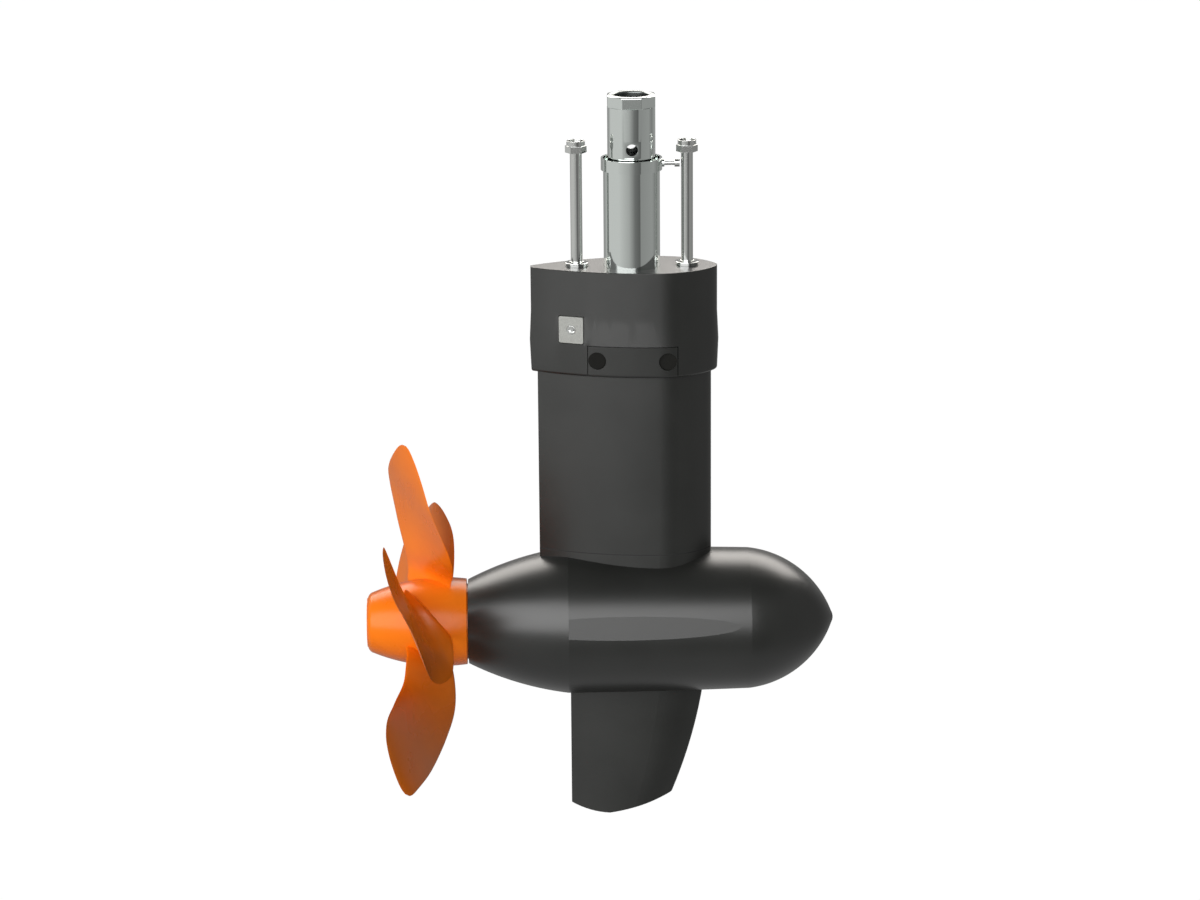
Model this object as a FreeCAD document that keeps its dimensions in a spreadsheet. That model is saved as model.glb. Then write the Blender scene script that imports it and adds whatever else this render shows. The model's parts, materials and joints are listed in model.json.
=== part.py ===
import FreeCAD, Part

import math
import os
from types import SimpleNamespace

import Sketcher
from FreeCAD import Placement, Rotation, Vector

# Electric pod drive that hangs under a hull, in millimetres. The origin is on the axis of the
# stem, at the hull face of the head. +Z points up into the boat, +X ahead, -Y to starboard.

doc = FreeCAD.newDocument("pod_drive")
sheet = doc.addObject("Spreadsheet::Sheet", "Sizes")


class Size:
    """A length or angle: its number, and the sheet formula that gives it."""

    def __init__(self, number, formula):
        self.number = number
        self.formula = formula

    def __add__(self, other):
        other = as_size(other)
        return Size(self.number + other.number, f"({self.formula} + {other.formula})")

    def __sub__(self, other):
        other = as_size(other)
        return Size(self.number - other.number, f"({self.formula} - {other.formula})")

    def __mul__(self, other):
        other = as_size(other)
        return Size(self.number * other.number, f"({self.formula} * {other.formula})")

    def __truediv__(self, other):
        other = as_size(other)
        return Size(self.number / other.number, f"({self.formula} / {other.formula})")

    def __neg__(self):
        return Size(-self.number, f"(-1 * {self.formula})")

    def __rsub__(self, other):
        return as_size(other) - self

    __radd__ = __add__
    __rmul__ = __mul__


def as_size(value):
    if isinstance(value, Size):
        return value
    return Size(float(value), f"({value})")


def root(size):
    return Size(math.sqrt(size.number), f"sqrt({size.formula})")


def sine(size):
    return Size(math.sin(math.radians(size.number)), f"sin({size.formula} * 1 deg)")


def cosine(size):
    return Size(math.cos(math.radians(size.number)), f"cos({size.formula} * 1 deg)")


def slope_angle(rise, run):
    """Angle in degrees whose sine is rise over run."""
    ratio = rise / run
    return Size(math.degrees(math.asin(ratio.number)), f"(asin({ratio.formula}) / 1 deg)")


# Driving dimensions: name, number, what it is
dimensions = [
    ("pod_drop", 375.0, "hull face down to the propeller axis"),
    ("fit_gap", 0.3, "between curved neighbours"),
    ("press_gap", 0.02, "between a ring and its seat"),
    # Plan of the head and the leg, a strut section with a blunt tail and a round nose
    ("widest_station", 25.6, "station of the greatest width"),
    ("head_tail", -102.7, "tail end of the head"),
    ("head_nose", 86.1, "nose end of the head"),
    ("head_half", 42.8, "half width of the head"),
    ("tail_half", 5.0, "half width of the blunt tail"),
    ("nose_half", 7.2, "half width where the nose cap starts"),
    ("nose_sag", 1.6, "depth of the nose cap"),
    # Head casting, by depth below the hull face
    ("belt_top", 46.2, "top line of the belt"),
    ("belt_rise", 32.5, "widest line of the belt above the bottom of the head"),
    ("head_height", 108.0, "bottom of the head"),
    ("belt_flare", 1.4, "how far the belt swells"),
    ("head_edge", 3.0, "round of the bottom edge"),
    ("top_edge", 0.6, "round of the top edge"),
    ("head_roof", 14.0, "roof thickness under the hull face"),
    ("head_wall", 13.0, "wall of the cable room"),
    ("anode_recess", 3.6, "depth of the anode pocket"),
    # Leg
    ("leg_inset", 6.1, "leg surface in from the head's"),
    ("socket_depth", 38.0, "how far the leg reaches into the head"),
    ("neck_height", 79.0, "top of the neck above the pod axis"),
    ("leg_wall", 5.0, "wall of the leg"),
    ("gasket", 1.0, "thickness of the leg gaskets"),
    ("web_half", 14.5, "half thickness of a web that takes a bolt"),
    ("leg_cavity_aft", -80.0, "aft end of the leg's hollow"),
    ("leg_cavity_front", 68.0, "front end of the leg's hollow"),
    ("leg_bolt_radius", 4.0, "bolts that hold the pod to the leg"),
    ("leg_bolt_head_radius", 6.5, "bolts that hold the pod to the leg"),
    ("leg_bolt_head_height", 6.0, "bolts that hold the pod to the leg"),
    ("leg_bolt_grip", 5.0, "neck floor under the bolt heads"),
    ("leg_bolt_length", 26.0, "bolts that hold the pod to the leg"),
    ("leg_bolt_spread_aft", 10.0, "aft bolts from the middle plane"),
    ("leg_bolt_spread_ahead", 15.0, "forward bolts from the middle plane"),
    # Clamp covers
    ("cover_tail", -45.8, "tail edge of the clamp cover"),
    ("cover_nose", 44.3, "nose edge of the clamp cover"),
    ("cover_slot", 0.7, "slot round the clamp cover"),
    ("bolt_aft", -36.6, "station of the aft clamp bolt"),
    ("bolt_ahead", 34.5, "station of the forward clamp bolt"),
    ("bolt_rise", 17.0, "clamp bolts above the bottom of the head"),
    ("bolt_radius", 4.0, "clamp bolt shank"),
    ("bolt_play", 0.3, "clamp bolt in its holes"),
    ("bolt_head_radius", 6.5, "clamp bolt head"),
    ("bolt_head_height", 8.0, "clamp bolt head"),
    ("clamp_nut_flats", 13.0, "clamp bolt nut"),
    ("clamp_nut_height", 6.5, "clamp bolt nut"),
    ("boss_radius", 11.5, "boss of the cover round the bolt"),
    ("boss_reach", 15.0, "end of the boss from the middle plane"),
    ("plug_radius", 8.95, "plug over the clamp bolt"),
    ("plug_length", 4.0, "plug over the clamp bolt"),
    ("bolt_seat", 18.0, "bolt seat from the middle plane"),
    ("plug_recess", 0.9, "plug face below the cover"),
    # Anode
    ("anode_station", -62.3, "middle of the anode along the head"),
    ("anode_drop", 60.6, "middle of the anode below the hull face"),
    ("anode_length", 26.4, "anode along the head"),
    ("anode_height", 27.4, "anode height"),
    ("anode_thickness", 4.8, "anode thickness"),
    ("anode_screw_length", 11.0, "anode screw"),
    ("anode_screw_radius", 2.5, "anode screw"),
    ("anode_screw_head", 4.6, "anode screw"),
    ("anode_gap", 0.7, "gap round the anode"),
    # Stem, conduit and collar
    ("stem_radius", 28.5, "outer tube"),
    ("stem_wall", 2.5, "outer tube"),
    ("stem_top", 101.0, "top of the outer tube"),
    ("stem_shoulder", 2.0, "shoulder under the outer tube"),
    ("bush_length", 18.0, "bushes between the two tubes"),
    ("bush_top", 98.0, "top of the upper bush"),
    ("collar_radius", 30.85, "collar"),
    ("collar_bottom", 98.4, "collar"),
    ("collar_top", 110.4, "collar"),
    ("conduit_radius", 24.15, "inner tube"),
    ("conduit_wall", 3.1, "inner tube"),
    ("conduit_bottom", -20.0, "inner tube"),
    ("conduit_top", 162.3, "inner tube"),
    ("flat_middle", 121.3, "height of the flats on the inner tube"),
    ("flat_reach", 22.4, "flats from the axis of the inner tube"),
    ("flat_height", 17.0, "flats on the inner tube"),
    ("flat_hole", 6.0, "radius of the cross hole"),
    ("octagon_flats", 47.7, "across the flats of the conduit nut"),
    ("octagon_height", 12.2, "conduit nut"),
    ("octagon_bore", 18.0, "radius of the cable bore"),
    ("octagon_bevel", 1.2, "top edge of the conduit nut"),
    ("octagon_spigot", 6.0, "spigot of the conduit nut"),
    # Lock screw in the collar
    ("lock_height", 104.6, "axis above the hull face"),
    ("lock_radius", 2.5, "shank"),
    ("lock_tip", 24.4, "tip from the stem axis"),
    ("lock_head", 43.3, "underside of the head"),
    ("lock_head_radius", 4.3, "head"),
    ("lock_head_length", 5.0, "head"),
    ("lug_reach", 33.0, "lug on the collar"),
    ("lug_radius", 4.2, "lug on the collar"),
    # Hull studs
    ("stud_spacing", 111.5, "between the two studs"),
    ("stud_radius", 6.0, "plain shank of the stud"),
    ("stud_neck_radius", 6.5, "neck of the stud, pressed in the roof"),
    ("stud_thread_radius", 5.43, "thread of the stud, at its pitch line"),
    ("stud_thread_start", 115.5, "lower end of the stud's thread"),
    ("stud_top", 126.6, "top of the stud"),
    ("stud_head_flats", 19.0, "head of the stud under the roof"),
    ("stud_head_height", 7.5, "head of the stud under the roof"),
    ("stud_washer_radius", 12.0, "washer at the foot of a stud"),
    ("stud_washer_height", 3.9, "top of the washer at the foot of a stud"),
    ("stud_washer_play", 1.2, "washer round the shank of the stud"),
    ("spot_depth", 0.3, "spot face in the hull face under a washer"),
    ("stud_nut_bottom", 116.0, "underside of the stud nut"),
    ("stud_nut_flats", 19.0, "across the flats of the stud nut"),
    ("stud_nut_height", 7.0, "hexagon of the stud nut"),
    ("stud_collar_radius", 9.3, "round top of the stud nut"),
    ("stud_collar_height", 5.0, "round top of the stud nut"),
    ("stud_collar_wall", 1.4, "round top of the stud nut"),
    ("insert_height", 3.4, "plastic ring in the stud nut"),
    # Pod, stations along its axis and radii
    ("cone_aft", -171.2, "aft end of the rear cone"),
    ("cone_aft_radius", 43.6, "aft end of the rear cone"),
    ("cone_arc", 320.0, "side of the rear cone"),
    ("seam_aft", -68.3, "seam of the rear cone"),
    ("pod_radius", 75.6, "pod at the aft seam"),
    ("belly_arc", 6500.0, "side of the motor housing"),
    ("seam_front", 118.5, "seam of the nose cone"),
    ("pod_front_radius", 73.0, "pod at the front seam"),
    ("nose_arc", 104.5, "side of the nose cone"),
    ("nose_tip", 206.4, "tip of the nose cone"),
    ("tip_half", 6.2, "radius where the tip cap starts"),
    ("tip_sag", 1.7, "depth of the tip cap"),
    ("motor_bore", 66.0, "bore of the motor housing"),
    ("spigot_radius", 69.0, "seats of the two cones in the housing"),
    ("spigot_length", 6.0, "seats of the two cones in the housing"),
    ("cone_wall", 6.0, "wall of the two cones"),
    ("cheek_aft", 74.9, "flat cheek from the pod axis, at the aft seam"),
    ("cheek_front", 73.2, "flat cheek from the pod axis, at the front seam"),
    ("cheek_tilt", 10.0, "flat cheek, tilt of its normal"),
    ("cable_slot_ahead", 3.0, "cable slot ahead of the stator stack"),
    ("cable_slot_half", 9.0, "half width of the cable slot in the neck"),
    ("cable_slot_length", 16.0, "cable slot in the neck"),
    ("spigot_wall", 4.0, "spigots of the two cones"),
    ("cone_floor", 10.0, "aft wall of the rear cone"),
    ("cone_floor_radius", 41.5, "hollow of the rear cone at its aft wall"),
    ("seal_tube_length", 25.0, "tube round the seals in the rear cone"),
    ("seal_tube_wall", 6.0, "tube round the seals in the rear cone"),
    ("ring_groove_depth", 2.0, "groove of a sealing ring"),
    ("ring_groove_width", 2.4, "groove of a sealing ring"),
    # Fin, cast with the motor housing
    ("fin_tail", -66.0, "tail edge of the fin"),
    ("fin_root", 62.0, "root plane below the pod axis"),
    ("fin_middle", 133.7, "middle plane below the pod axis"),
    ("fin_low", 212.0, "lowest plane below the pod axis"),
    ("fin_root_nose", 73.1, "leading edge at the root plane"),
    ("fin_middle_nose", 58.1, "leading edge at the middle plane"),
    ("fin_low_nose", 29.2, "leading edge at the lowest plane"),
    ("fin_root_half", 11.0, "half thickness at the root plane"),
    ("fin_middle_half", 10.0, "half thickness at the middle plane"),
    ("fin_low_half", 8.0, "half thickness at the lowest plane"),
    ("fin_widest_share", 0.67, "share of the chord from the tail to the widest place"),
    ("fin_tail_half", 2.0, "half thickness of the tail edge"),
    ("fin_nose_half", 3.0, "where the round leading edge starts"),
    ("fin_nose_sag", 1.8, "depth of the round leading edge"),
    ("fin_heel", 199.7, "heel of the fin below the pod axis"),
    ("fin_heel_arc", 90.0, "bottom edge, aft"),
    ("fin_deepest", 210.6, "deepest point below the pod axis"),
    ("fin_deepest_station", -26.2, "deepest point of the fin"),
    ("fin_belly_arc", 224.0, "bottom edge, ahead"),
    ("fin_toe", 190.0, "toe below the pod axis"),
    ("fin_toe_station", 37.0, "toe of the fin"),
    ("toe_run", 6.4, "length of the toe's round"),
    ("toe_rise", 12.1, "height of the toe's round"),
    ("toe_sag", 2.14, "depth of the toe's round"),
    # Motor
    ("stack_aft", -32.0, "aft end of the stator stack"),
    ("stack_length", 80.0, "stator stack"),
    ("stator_bore", 40.4, "bore of the stator"),
    ("slot_root", 45.0, "start of the winding slot"),
    ("slot_floor", 60.0, "floor of the winding slot"),
    ("slot_root_half", 6.1, "half width at the start of the slot"),
    ("slot_floor_half", 10.1, "half width at the floor of the slot"),
    ("slot_mouth_half", 1.5, "half width of the slot mouth"),
    ("coil_bottom", 46.0, "coil, nearest the axis"),
    ("coil_top", 58.0, "coil, farthest from the axis"),
    ("coil_inner_half", 6.1, "half width of the coil's hole"),
    ("coil_side", 3.9, "thickness of a coil side"),
    ("coil_overhang", 8.0, "coil beyond the stack"),
    ("rotor_aft", -40.0, "aft end of the rotor core"),
    ("rotor_length", 90.0, "rotor core"),
    ("rotor_hole_radius", 4.25, "lightening hole of the rotor"),
    ("rotor_radius", 34.0, "rotor core"),
    ("magnet_radius", 39.4, "outside of the magnets"),
    ("magnet_half_angle", 15.0, "half the span of a magnet"),
    # Shaft and bearings
    ("shaft_end", -264.0, "aft end of the shaft"),
    ("thread_radius", 8.0, "thread for the propeller nut"),
    ("prop_seat_aft", -248.0, "aft end of the propeller seat"),
    ("prop_seat_radius", 10.0, "propeller seat"),
    ("prop_shoulder", -176.0, "shoulder behind the thrust washer"),
    ("shaft_radius", 12.5, "shaft in the seals and the rear bearing"),
    ("rotor_seat_radius", 15.0, "rotor seat"),
    ("shaft_flange_radius", 17.0, "flange that locates the rotor"),
    ("rear_bearing_aft", -62.0, "aft face of the rear bearing"),
    ("rear_bearing_width", 15.0, "rear bearing"),
    ("rear_bearing_radius", 26.0, "rear bearing"),
    ("rear_pitch", 19.25, "ball circle of the rear bearing"),
    ("rear_ball", 3.97, "ball of the rear bearing"),
    ("front_bearing_aft", 67.0, "aft face of the front bearing"),
    ("front_bearing_width", 12.0, "front bearing"),
    ("front_bearing_radius", 21.0, "front bearing"),
    ("front_seat_radius", 10.0, "shaft in the front bearing"),
    ("front_pitch", 15.5, "ball circle of the front bearing"),
    ("front_ball", 3.17, "ball of the front bearing"),
    ("shaft_front", 86.0, "front end of the shaft"),
    ("race_play", 0.06, "raceway wider than its balls"),
    ("circlip_width", 1.2, "circlip on the front end of the shaft"),
    ("circlip_seat_radius", 9.3, "groove of the circlip"),
    ("circlip_reach", 2.0, "circlip beyond the shaft"),
    ("seal_gap", 0.06, "between a shaft and its seal"),
    ("seal_wall", 1.5, "wall of a shaft seal"),
    ("retainer_width", 1.5, "ring that holds the seals"),
    ("seal_width", 7.0, "shaft seal"),
    ("seal_aft", -166.0, "aft face of the outer seal"),
    ("seal_pitch", 9.0, "between the two seals"),
    ("seal_bore", 26.0, "seal bore in the rear cone"),
    ("bracket_web", 6.0, "web of a bearing bracket"),
    ("bracket_lip", 1.5, "lip that stops a bearing's outer ring"),
    ("rear_web_aft", -58.0, "web of the rear bracket"),
    ("front_web_aft", 70.0, "web of the front bracket"),
    ("bracket_hub", 31.5, "radius of the rear bracket's hub"),
    ("front_bracket_hub", 27.0, "radius of the front bracket's hub"),
    # Electronics in the nose
    ("spreader_aft", 96.0, "aft face of the heat spreader"),
    ("spreader_thickness", 6.0, "heat spreader"),
    ("module_height", 6.0, "power module"),
    ("module_width", 14.0, "power module"),
    ("module_low", 30.0, "power module, from the axis"),
    ("capacitor_circle", 28.0, "circle of the capacitors"),
    ("screw_circle", 53.0, "circle of the board screws"),
    ("board_screw", 1.5, "board screw"),
    ("hall_thickness", 1.6, "ring with the rotor position sensors"),
    ("hall_radius", 44.0, "ring with the rotor position sensors"),
    ("board_radius", 58.0, "control board"),
    ("board_thickness", 2.0, "control board"),
    ("capacitor_radius", 9.0, "capacitor"),
    ("capacitor_length", 26.0, "capacitor"),
    ("lead_circle", 52.0, "circle of the phase leads"),
    ("lead_radius", 2.4, "phase lead"),
    # Propeller
    ("hub_front", -172.8, "front face of the hub"),
    ("hub_front_radius", 44.4, "front edge of the hub"),
    ("hub_arc", 187.0, "side of the hub"),
    ("hub_shoulder", -269.2, "start of the round aft edge"),
    ("hub_shoulder_radius", 31.7, "hub at its aft shoulder"),
    ("hub_aft", -273.3, "aft face of the hub"),
    ("hub_aft_radius", 27.6, "aft face of the hub"),
    ("hub_recess_radius", 22.0, "recess for the nut"),
    ("hub_recess_floor", -250.0, "floor of the recess for the nut"),
    ("washer_thickness", 2.0, "thrust washer"),
    ("washer_radius", 20.0, "thrust washer"),
    ("pin_station", -225.0, "drive pin"),
    ("pin_radius", 3.0, "drive pin"),
    ("pin_half", 18.0, "half length of the drive pin"),
    ("prop_nut_flats", 24.0, "propeller nut"),
    ("prop_nut_height", 12.0, "propeller nut"),
    ("cap_radius", 25.4, "end cap"),
    ("cap_flange", 2.4, "end cap"),
    ("cap_spigot", 7.0, "end cap"),
    ("notch_half", 0.7, "half width of a notch in the cap's rim"),
    ("blade_turn", -0.7, "first blade from the top towards starboard"),
    ("blade_edge", 1.6, "thickness of a blade's edge"),
]

# Stations of a blade from inside the hub to the tip. The angle is between the chord and the plane
# of rotation; ahead and aside place the middle of the chord, aside counts to port.
blade_names = ["foot", "root", "inner", "middle", "outer", "upper", "shoulder", "crest", "tip"]
blade_sizes = ["radius", "chord", "angle", "ahead", "aside", "thickness"]
blade_table = [
    (30.0, 42.0, 49.0, -214.0, 7.0, 11.0),
    (50.0, 72.4, 40.1, -211.0, 5.0, 10.0),
    (75.0, 97.5, 31.8, -211.9, -12.4, 8.6),
    (105.0, 126.2, 23.9, -221.0, -7.0, 7.2),
    (135.0, 139.5, 19.0, -230.0, 6.0, 6.0),
    (158.0, 97.0, 22.6, -235.0, 1.0, 5.0),
    (173.0, 54.5, 25.2, -235.3, 0.0, 4.2),
    (182.0, 27.5, 26.6, -234.4, 1.6, 3.7),
    (187.5, 10.0, 27.5, -233.6, 3.0, 3.3),
]
for name, row in zip(blade_names, blade_table):
    for size, number in zip(blade_sizes, row):
        dimensions.append((f"blade_{name}_{size}", number, f"{size} of the blade's {name} station"))

for row, (name, number, meaning) in enumerate(dimensions, start=1):
    sheet.set(f"A{row}", meaning)
    sheet.set(f"B{row}", str(number))
    sheet.setAlias(f"B{row}", name)
doc.recompute()
s = SimpleNamespace(**{name: Size(float(number), f"Sizes.{name}") for name, number, meaning in dimensions})

belt_middle = s.head_height - s.belt_rise
bolt_drop = s.head_height - s.bolt_rise
leg_top = s.head_height - s.socket_depth
neck_top = s.neck_height
leg_bottom = s.pod_drop - s.neck_height - s.gasket
knee_station = s.fin_toe_station + s.toe_run
knee = s.fin_toe - s.toe_rise


def bind(thing, path, size):
    thing.setExpression(path, as_size(size).formula)


def new_body(label):
    body = doc.addObject("PartDesign::Body", label)
    body.Label = label
    return body


def origin_part(body, role):
    return next(item for item in body.Origin.OriginFeatures if item.Role == role)


def new_sketch(body, role, name, lift=None):
    sketch = body.newObject("Sketcher::SketchObject", name)
    sketch.AttachmentSupport = (origin_part(body, role), [""])
    sketch.MapMode = "FlatFace"
    if lift is not None:
        bind(sketch, "AttachmentOffset.Base.z", lift)
    return sketch


def hold(sketch, kind, places, size):
    """One constraint that follows the sheet; a coordinate keeps its sign."""
    size = as_size(size)
    if size.number == 0 and kind != "Radius":
        axis = -2 if kind == "DistanceX" else -1
        sketch.addConstraint(Sketcher.Constraint("PointOnObject", places[2], places[3], axis))
        return
    if size.number < 0:
        places = places[2:] + places[:2]
        size = -size
    number = sketch.addConstraint(Sketcher.Constraint(kind, *places, size.number))
    sketch.renameConstraint(number, f"k{number}")
    if "Sizes." in size.formula:
        bind(sketch, f"Constraints.k{number}", size)


def arc_between(start, stop, radius, turn):
    chord = stop - start
    rise = math.sqrt(radius ** 2 - (chord.Length / 2) ** 2)
    side = Vector(-chord.y, chord.x, 0).normalize() * turn
    centre = (start + stop) * 0.5 + side * rise
    if turn < 0:
        start, stop = stop, start
    begin = math.atan2(start.y - centre.y, start.x - centre.x)
    finish = math.atan2(stop.y - centre.y, stop.x - centre.x)
    return Part.ArcOfCircle(Part.Circle(centre, Vector(0, 0, 1), radius), begin, finish)


def draw_outline(sketch, corners):
    """Closed outline through corners (across, up), or (across, up, radius, turn) where an arc
    leads to the next corner: turn 1 is anticlockwise, -1 clockwise."""
    first = sketch.GeometryCount
    ends = []
    for place, corner in enumerate(corners):
        after = corners[(place + 1) % len(corners)]
        start = Vector(as_size(corner[0]).number, as_size(corner[1]).number, 0)
        stop = Vector(as_size(after[0]).number, as_size(after[1]).number, 0)
        if len(corner) == 2:
            sketch.addGeometry(Part.LineSegment(start, stop))
            ends.append((1, 2))
        else:
            sketch.addGeometry(arc_between(start, stop, as_size(corner[2]).number, corner[3]))
            ends.append((1, 2) if corner[3] > 0 else (2, 1))
    for place, corner in enumerate(corners):
        edge = first + place
        after = (place + 1) % len(corners)
        joint = (edge, ends[place][1], first + after, ends[after][0])
        sketch.addConstraint(Sketcher.Constraint("Coincident", *joint))
        hold(sketch, "DistanceX", (-1, 1, edge, ends[place][0]), corner[0])
        hold(sketch, "DistanceY", (-1, 1, edge, ends[place][0]), corner[1])
        if len(corner) > 2:
            hold(sketch, "Radius", (edge,), corner[2])


def draw_circle(sketch, across, up, radius):
    centre = Vector(as_size(across).number, as_size(up).number, 0)
    edge = sketch.addGeometry(Part.Circle(centre, Vector(0, 0, 1), as_size(radius).number))
    hold(sketch, "DistanceX", (-1, 1, edge, 3), across)
    hold(sketch, "DistanceY", (-1, 1, edge, 3), up)
    hold(sketch, "Radius", (edge,), radius)


def draw(sketch, shapes):
    """Each shape is a circle (across, up, radius) or a list of corners."""
    for shape in shapes:
        if isinstance(shape, tuple):
            draw_circle(sketch, *shape)
        else:
            draw_outline(sketch, shape)


def pad(body, name, shapes, low, high, role="XY_Plane"):
    """Solid between two levels, counted along the normal of the plane."""
    low, high = as_size(low), as_size(high)
    sketch = new_sketch(body, role, name, low)
    draw(sketch, shapes)
    feature = body.newObject("PartDesign::Pad", f"{name}_pad")
    feature.Profile = sketch
    bind(feature, "Length", high - low)
    return feature


def pocket(body, name, shapes, low, high, role="XY_Plane"):
    """Removes what lies between two levels, counted along the normal of the plane."""
    low, high = as_size(low), as_size(high)
    sketch = new_sketch(body, role, name, high)
    draw(sketch, shapes)
    feature = body.newObject("PartDesign::Pocket", f"{name}_pocket")
    feature.Profile = sketch
    bind(feature, "Length", high - low)
    return feature


def turn_profile(body, name, corners, axis="H_Axis", role="XZ_Plane", kind="Revolution"):
    """Solid or groove of a profile turned about an axis of its sketch."""
    sketch = new_sketch(body, role, name)
    draw_outline(sketch, corners)
    feature = body.newObject(f"PartDesign::{kind}", f"{name}_turn")
    feature.Profile = sketch
    feature.ReferenceAxis = (sketch, [axis])
    feature.Angle = 360
    return feature


def pod_body(label, turn=None):
    """A body whose own X axis is the pod's, turned about it where wanted."""
    body = new_body(label)
    if turn is not None:
        body.Placement = Placement(Vector(0, 0, 0), Rotation(Vector(1, 0, 0), as_size(turn).number))
        bind(body, "Placement.Rotation.Angle", turn)
    bind(body, "Placement.Base.z", -s.pod_drop)
    return body


def ring_corners(aft, front, inner, outer):
    return [(aft, inner), (front, inner), (front, outer), (aft, outer)]


def pod_ring(label, aft, front, inner, outer, turn=None):
    body = pod_body(label, turn)
    turn_profile(body, f"{label}_profile", ring_corners(aft, front, inner, outer))
    return body


def box_corners(left, right, bottom, top):
    return [(left, bottom), (right, bottom), (right, top), (left, top)]


def ring_of(body, features, count, role="X_Axis"):
    """Repeat features evenly round an axis of their own body."""
    pattern = body.newObject("PartDesign::PolarPattern", f"{features[0].Name}_ring")
    pattern.Originals = features
    pattern.Axis = (origin_part(body, role), [""])
    pattern.Angle = 360
    pattern.Occurrences = count
    body.Tip = pattern
    return pattern


def boolean(kind, label, base, tool):
    """A named Part::Cut, Part::Common or Part::Fuse of two objects."""
    result = doc.addObject(f"Part::{kind}", label)
    result.Base = base
    result.Tool = tool
    result.Label = label
    return result


def finish_edges(body, feature, kind, size, wanted):
    """Fillet or Chamfer on the edges that wanted(centre, box) picks."""
    doc.recompute()
    chosen = []
    for number, edge in enumerate(feature.Shape.Edges, start=1):
        if wanted(edge.CenterOfMass, edge.BoundBox):
            chosen.append(f"Edge{number}")
    finish = body.newObject(f"PartDesign::{kind}", f"{feature.Name}_{kind.lower()}")
    finish.Base = (feature, chosen)
    bind(finish, "Radius" if kind == "Fillet" else "Size", size)
    return finish


def polygon(flats, sides):
    """Corners of a regular polygon by the distance across its flats, one flat at the bottom."""
    reach = as_size(flats) / (2 * math.cos(math.pi / sides))
    corners = []
    for place in range(sides):
        angle = math.radians(-90 + (place + 0.5) * 360 / sides)
        corners.append((reach * round(math.cos(angle), 9), reach * round(math.sin(angle), 9)))
    return corners


def shifted(corners, across, up):
    return [(corner[0] + across, corner[1] + up, *corner[2:]) for corner in corners]


# Strut section shared by the head, the leg, the neck and the fin

def arc_radius(run, rise):
    """Radius of an arc that ends level, by its run and rise."""
    return (run * run + rise * rise) / (rise * 2)


def strut_section(tail, widest, nose, half, tail_half, nose_half, sag):
    shoulder = nose - sag
    aft = arc_radius(widest - tail, half - tail_half)
    front = arc_radius(shoulder - widest, half - nose_half)
    cap = arc_radius(nose_half, sag)
    return [
        (tail, -tail_half, aft, 1),
        (widest, -half, front, 1),
        (shoulder, -nose_half, cap, 1),
        (shoulder, nose_half, front, 1),
        (widest, half, aft, 1),
        (tail, tail_half),
    ]


def plan(inset):
    """The head's plan, moved in by inset all round."""
    half = s.head_half - inset
    share = half / s.head_half
    return strut_section(s.head_tail + inset, s.widest_station, s.head_nose - inset, half,
                         s.tail_half * share, s.nose_half * share, s.nose_sag)


def plan_half(station, inset, ahead=False):
    """Half width of that plan at a station, and the radius of its side there."""
    corners = plan(inset)
    radius = corners[1][2] if ahead else corners[0][2]
    run = as_size(station) - s.widest_station
    return s.head_half - inset - radius + root(radius * radius - run * run), radius


def slice_of_plan(aft, front, inset, ahead=False):
    """The part of that plan between two stations on one side of the widest."""
    aft_half, radius = plan_half(aft, inset, ahead)
    front_half, radius = plan_half(front, inset, ahead)
    starboard = [(aft, -aft_half, radius, 1), (front, -front_half)]
    port = [(front, front_half, radius, 1), (aft, aft_half)]
    return starboard + port


# Head

head_room_inset = s.head_wall
socket_inset = s.leg_inset - s.fit_gap


def head_form(body):
    """Upper block and swelling belt of the head, with rounded edges."""
    flat = as_size(0)
    levels = [(flat, flat), (s.belt_top, flat), (belt_middle, -s.belt_flare), (s.head_height, flat)]
    sketches = []
    for place, (drop, inset) in enumerate(levels):
        sketch = new_sketch(body, "XY_Plane", f"{body.Name}_level_{place + 1}", -drop)
        draw_outline(sketch, plan(inset))
        sketches.append(sketch)
    loft = body.newObject("PartDesign::AdditiveLoft", f"{body.Name}_loft")
    loft.Profile = sketches[0]
    loft.Sections = sketches[1:]
    loft.Ruled = True
    bottom = -s.head_height.number
    low = finish_edges(body, loft, "Fillet", s.head_edge, lambda centre, box: box.ZMax < bottom + 0.1)
    return finish_edges(body, low, "Fillet", s.top_edge, lambda centre, box: box.ZMin > -0.1)


def hollow_head(body):
    """Socket for the leg, open at the bottom."""
    pocket(body, f"{body.Name}_socket", [plan(socket_inset)], -s.head_height, s.gasket - leg_top)


bolt_places = [(s.bolt_aft, -bolt_drop), (s.bolt_ahead, -bolt_drop)]


def bolt_circles(radius):
    return [(across, up, radius) for across, up in bolt_places]


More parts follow.
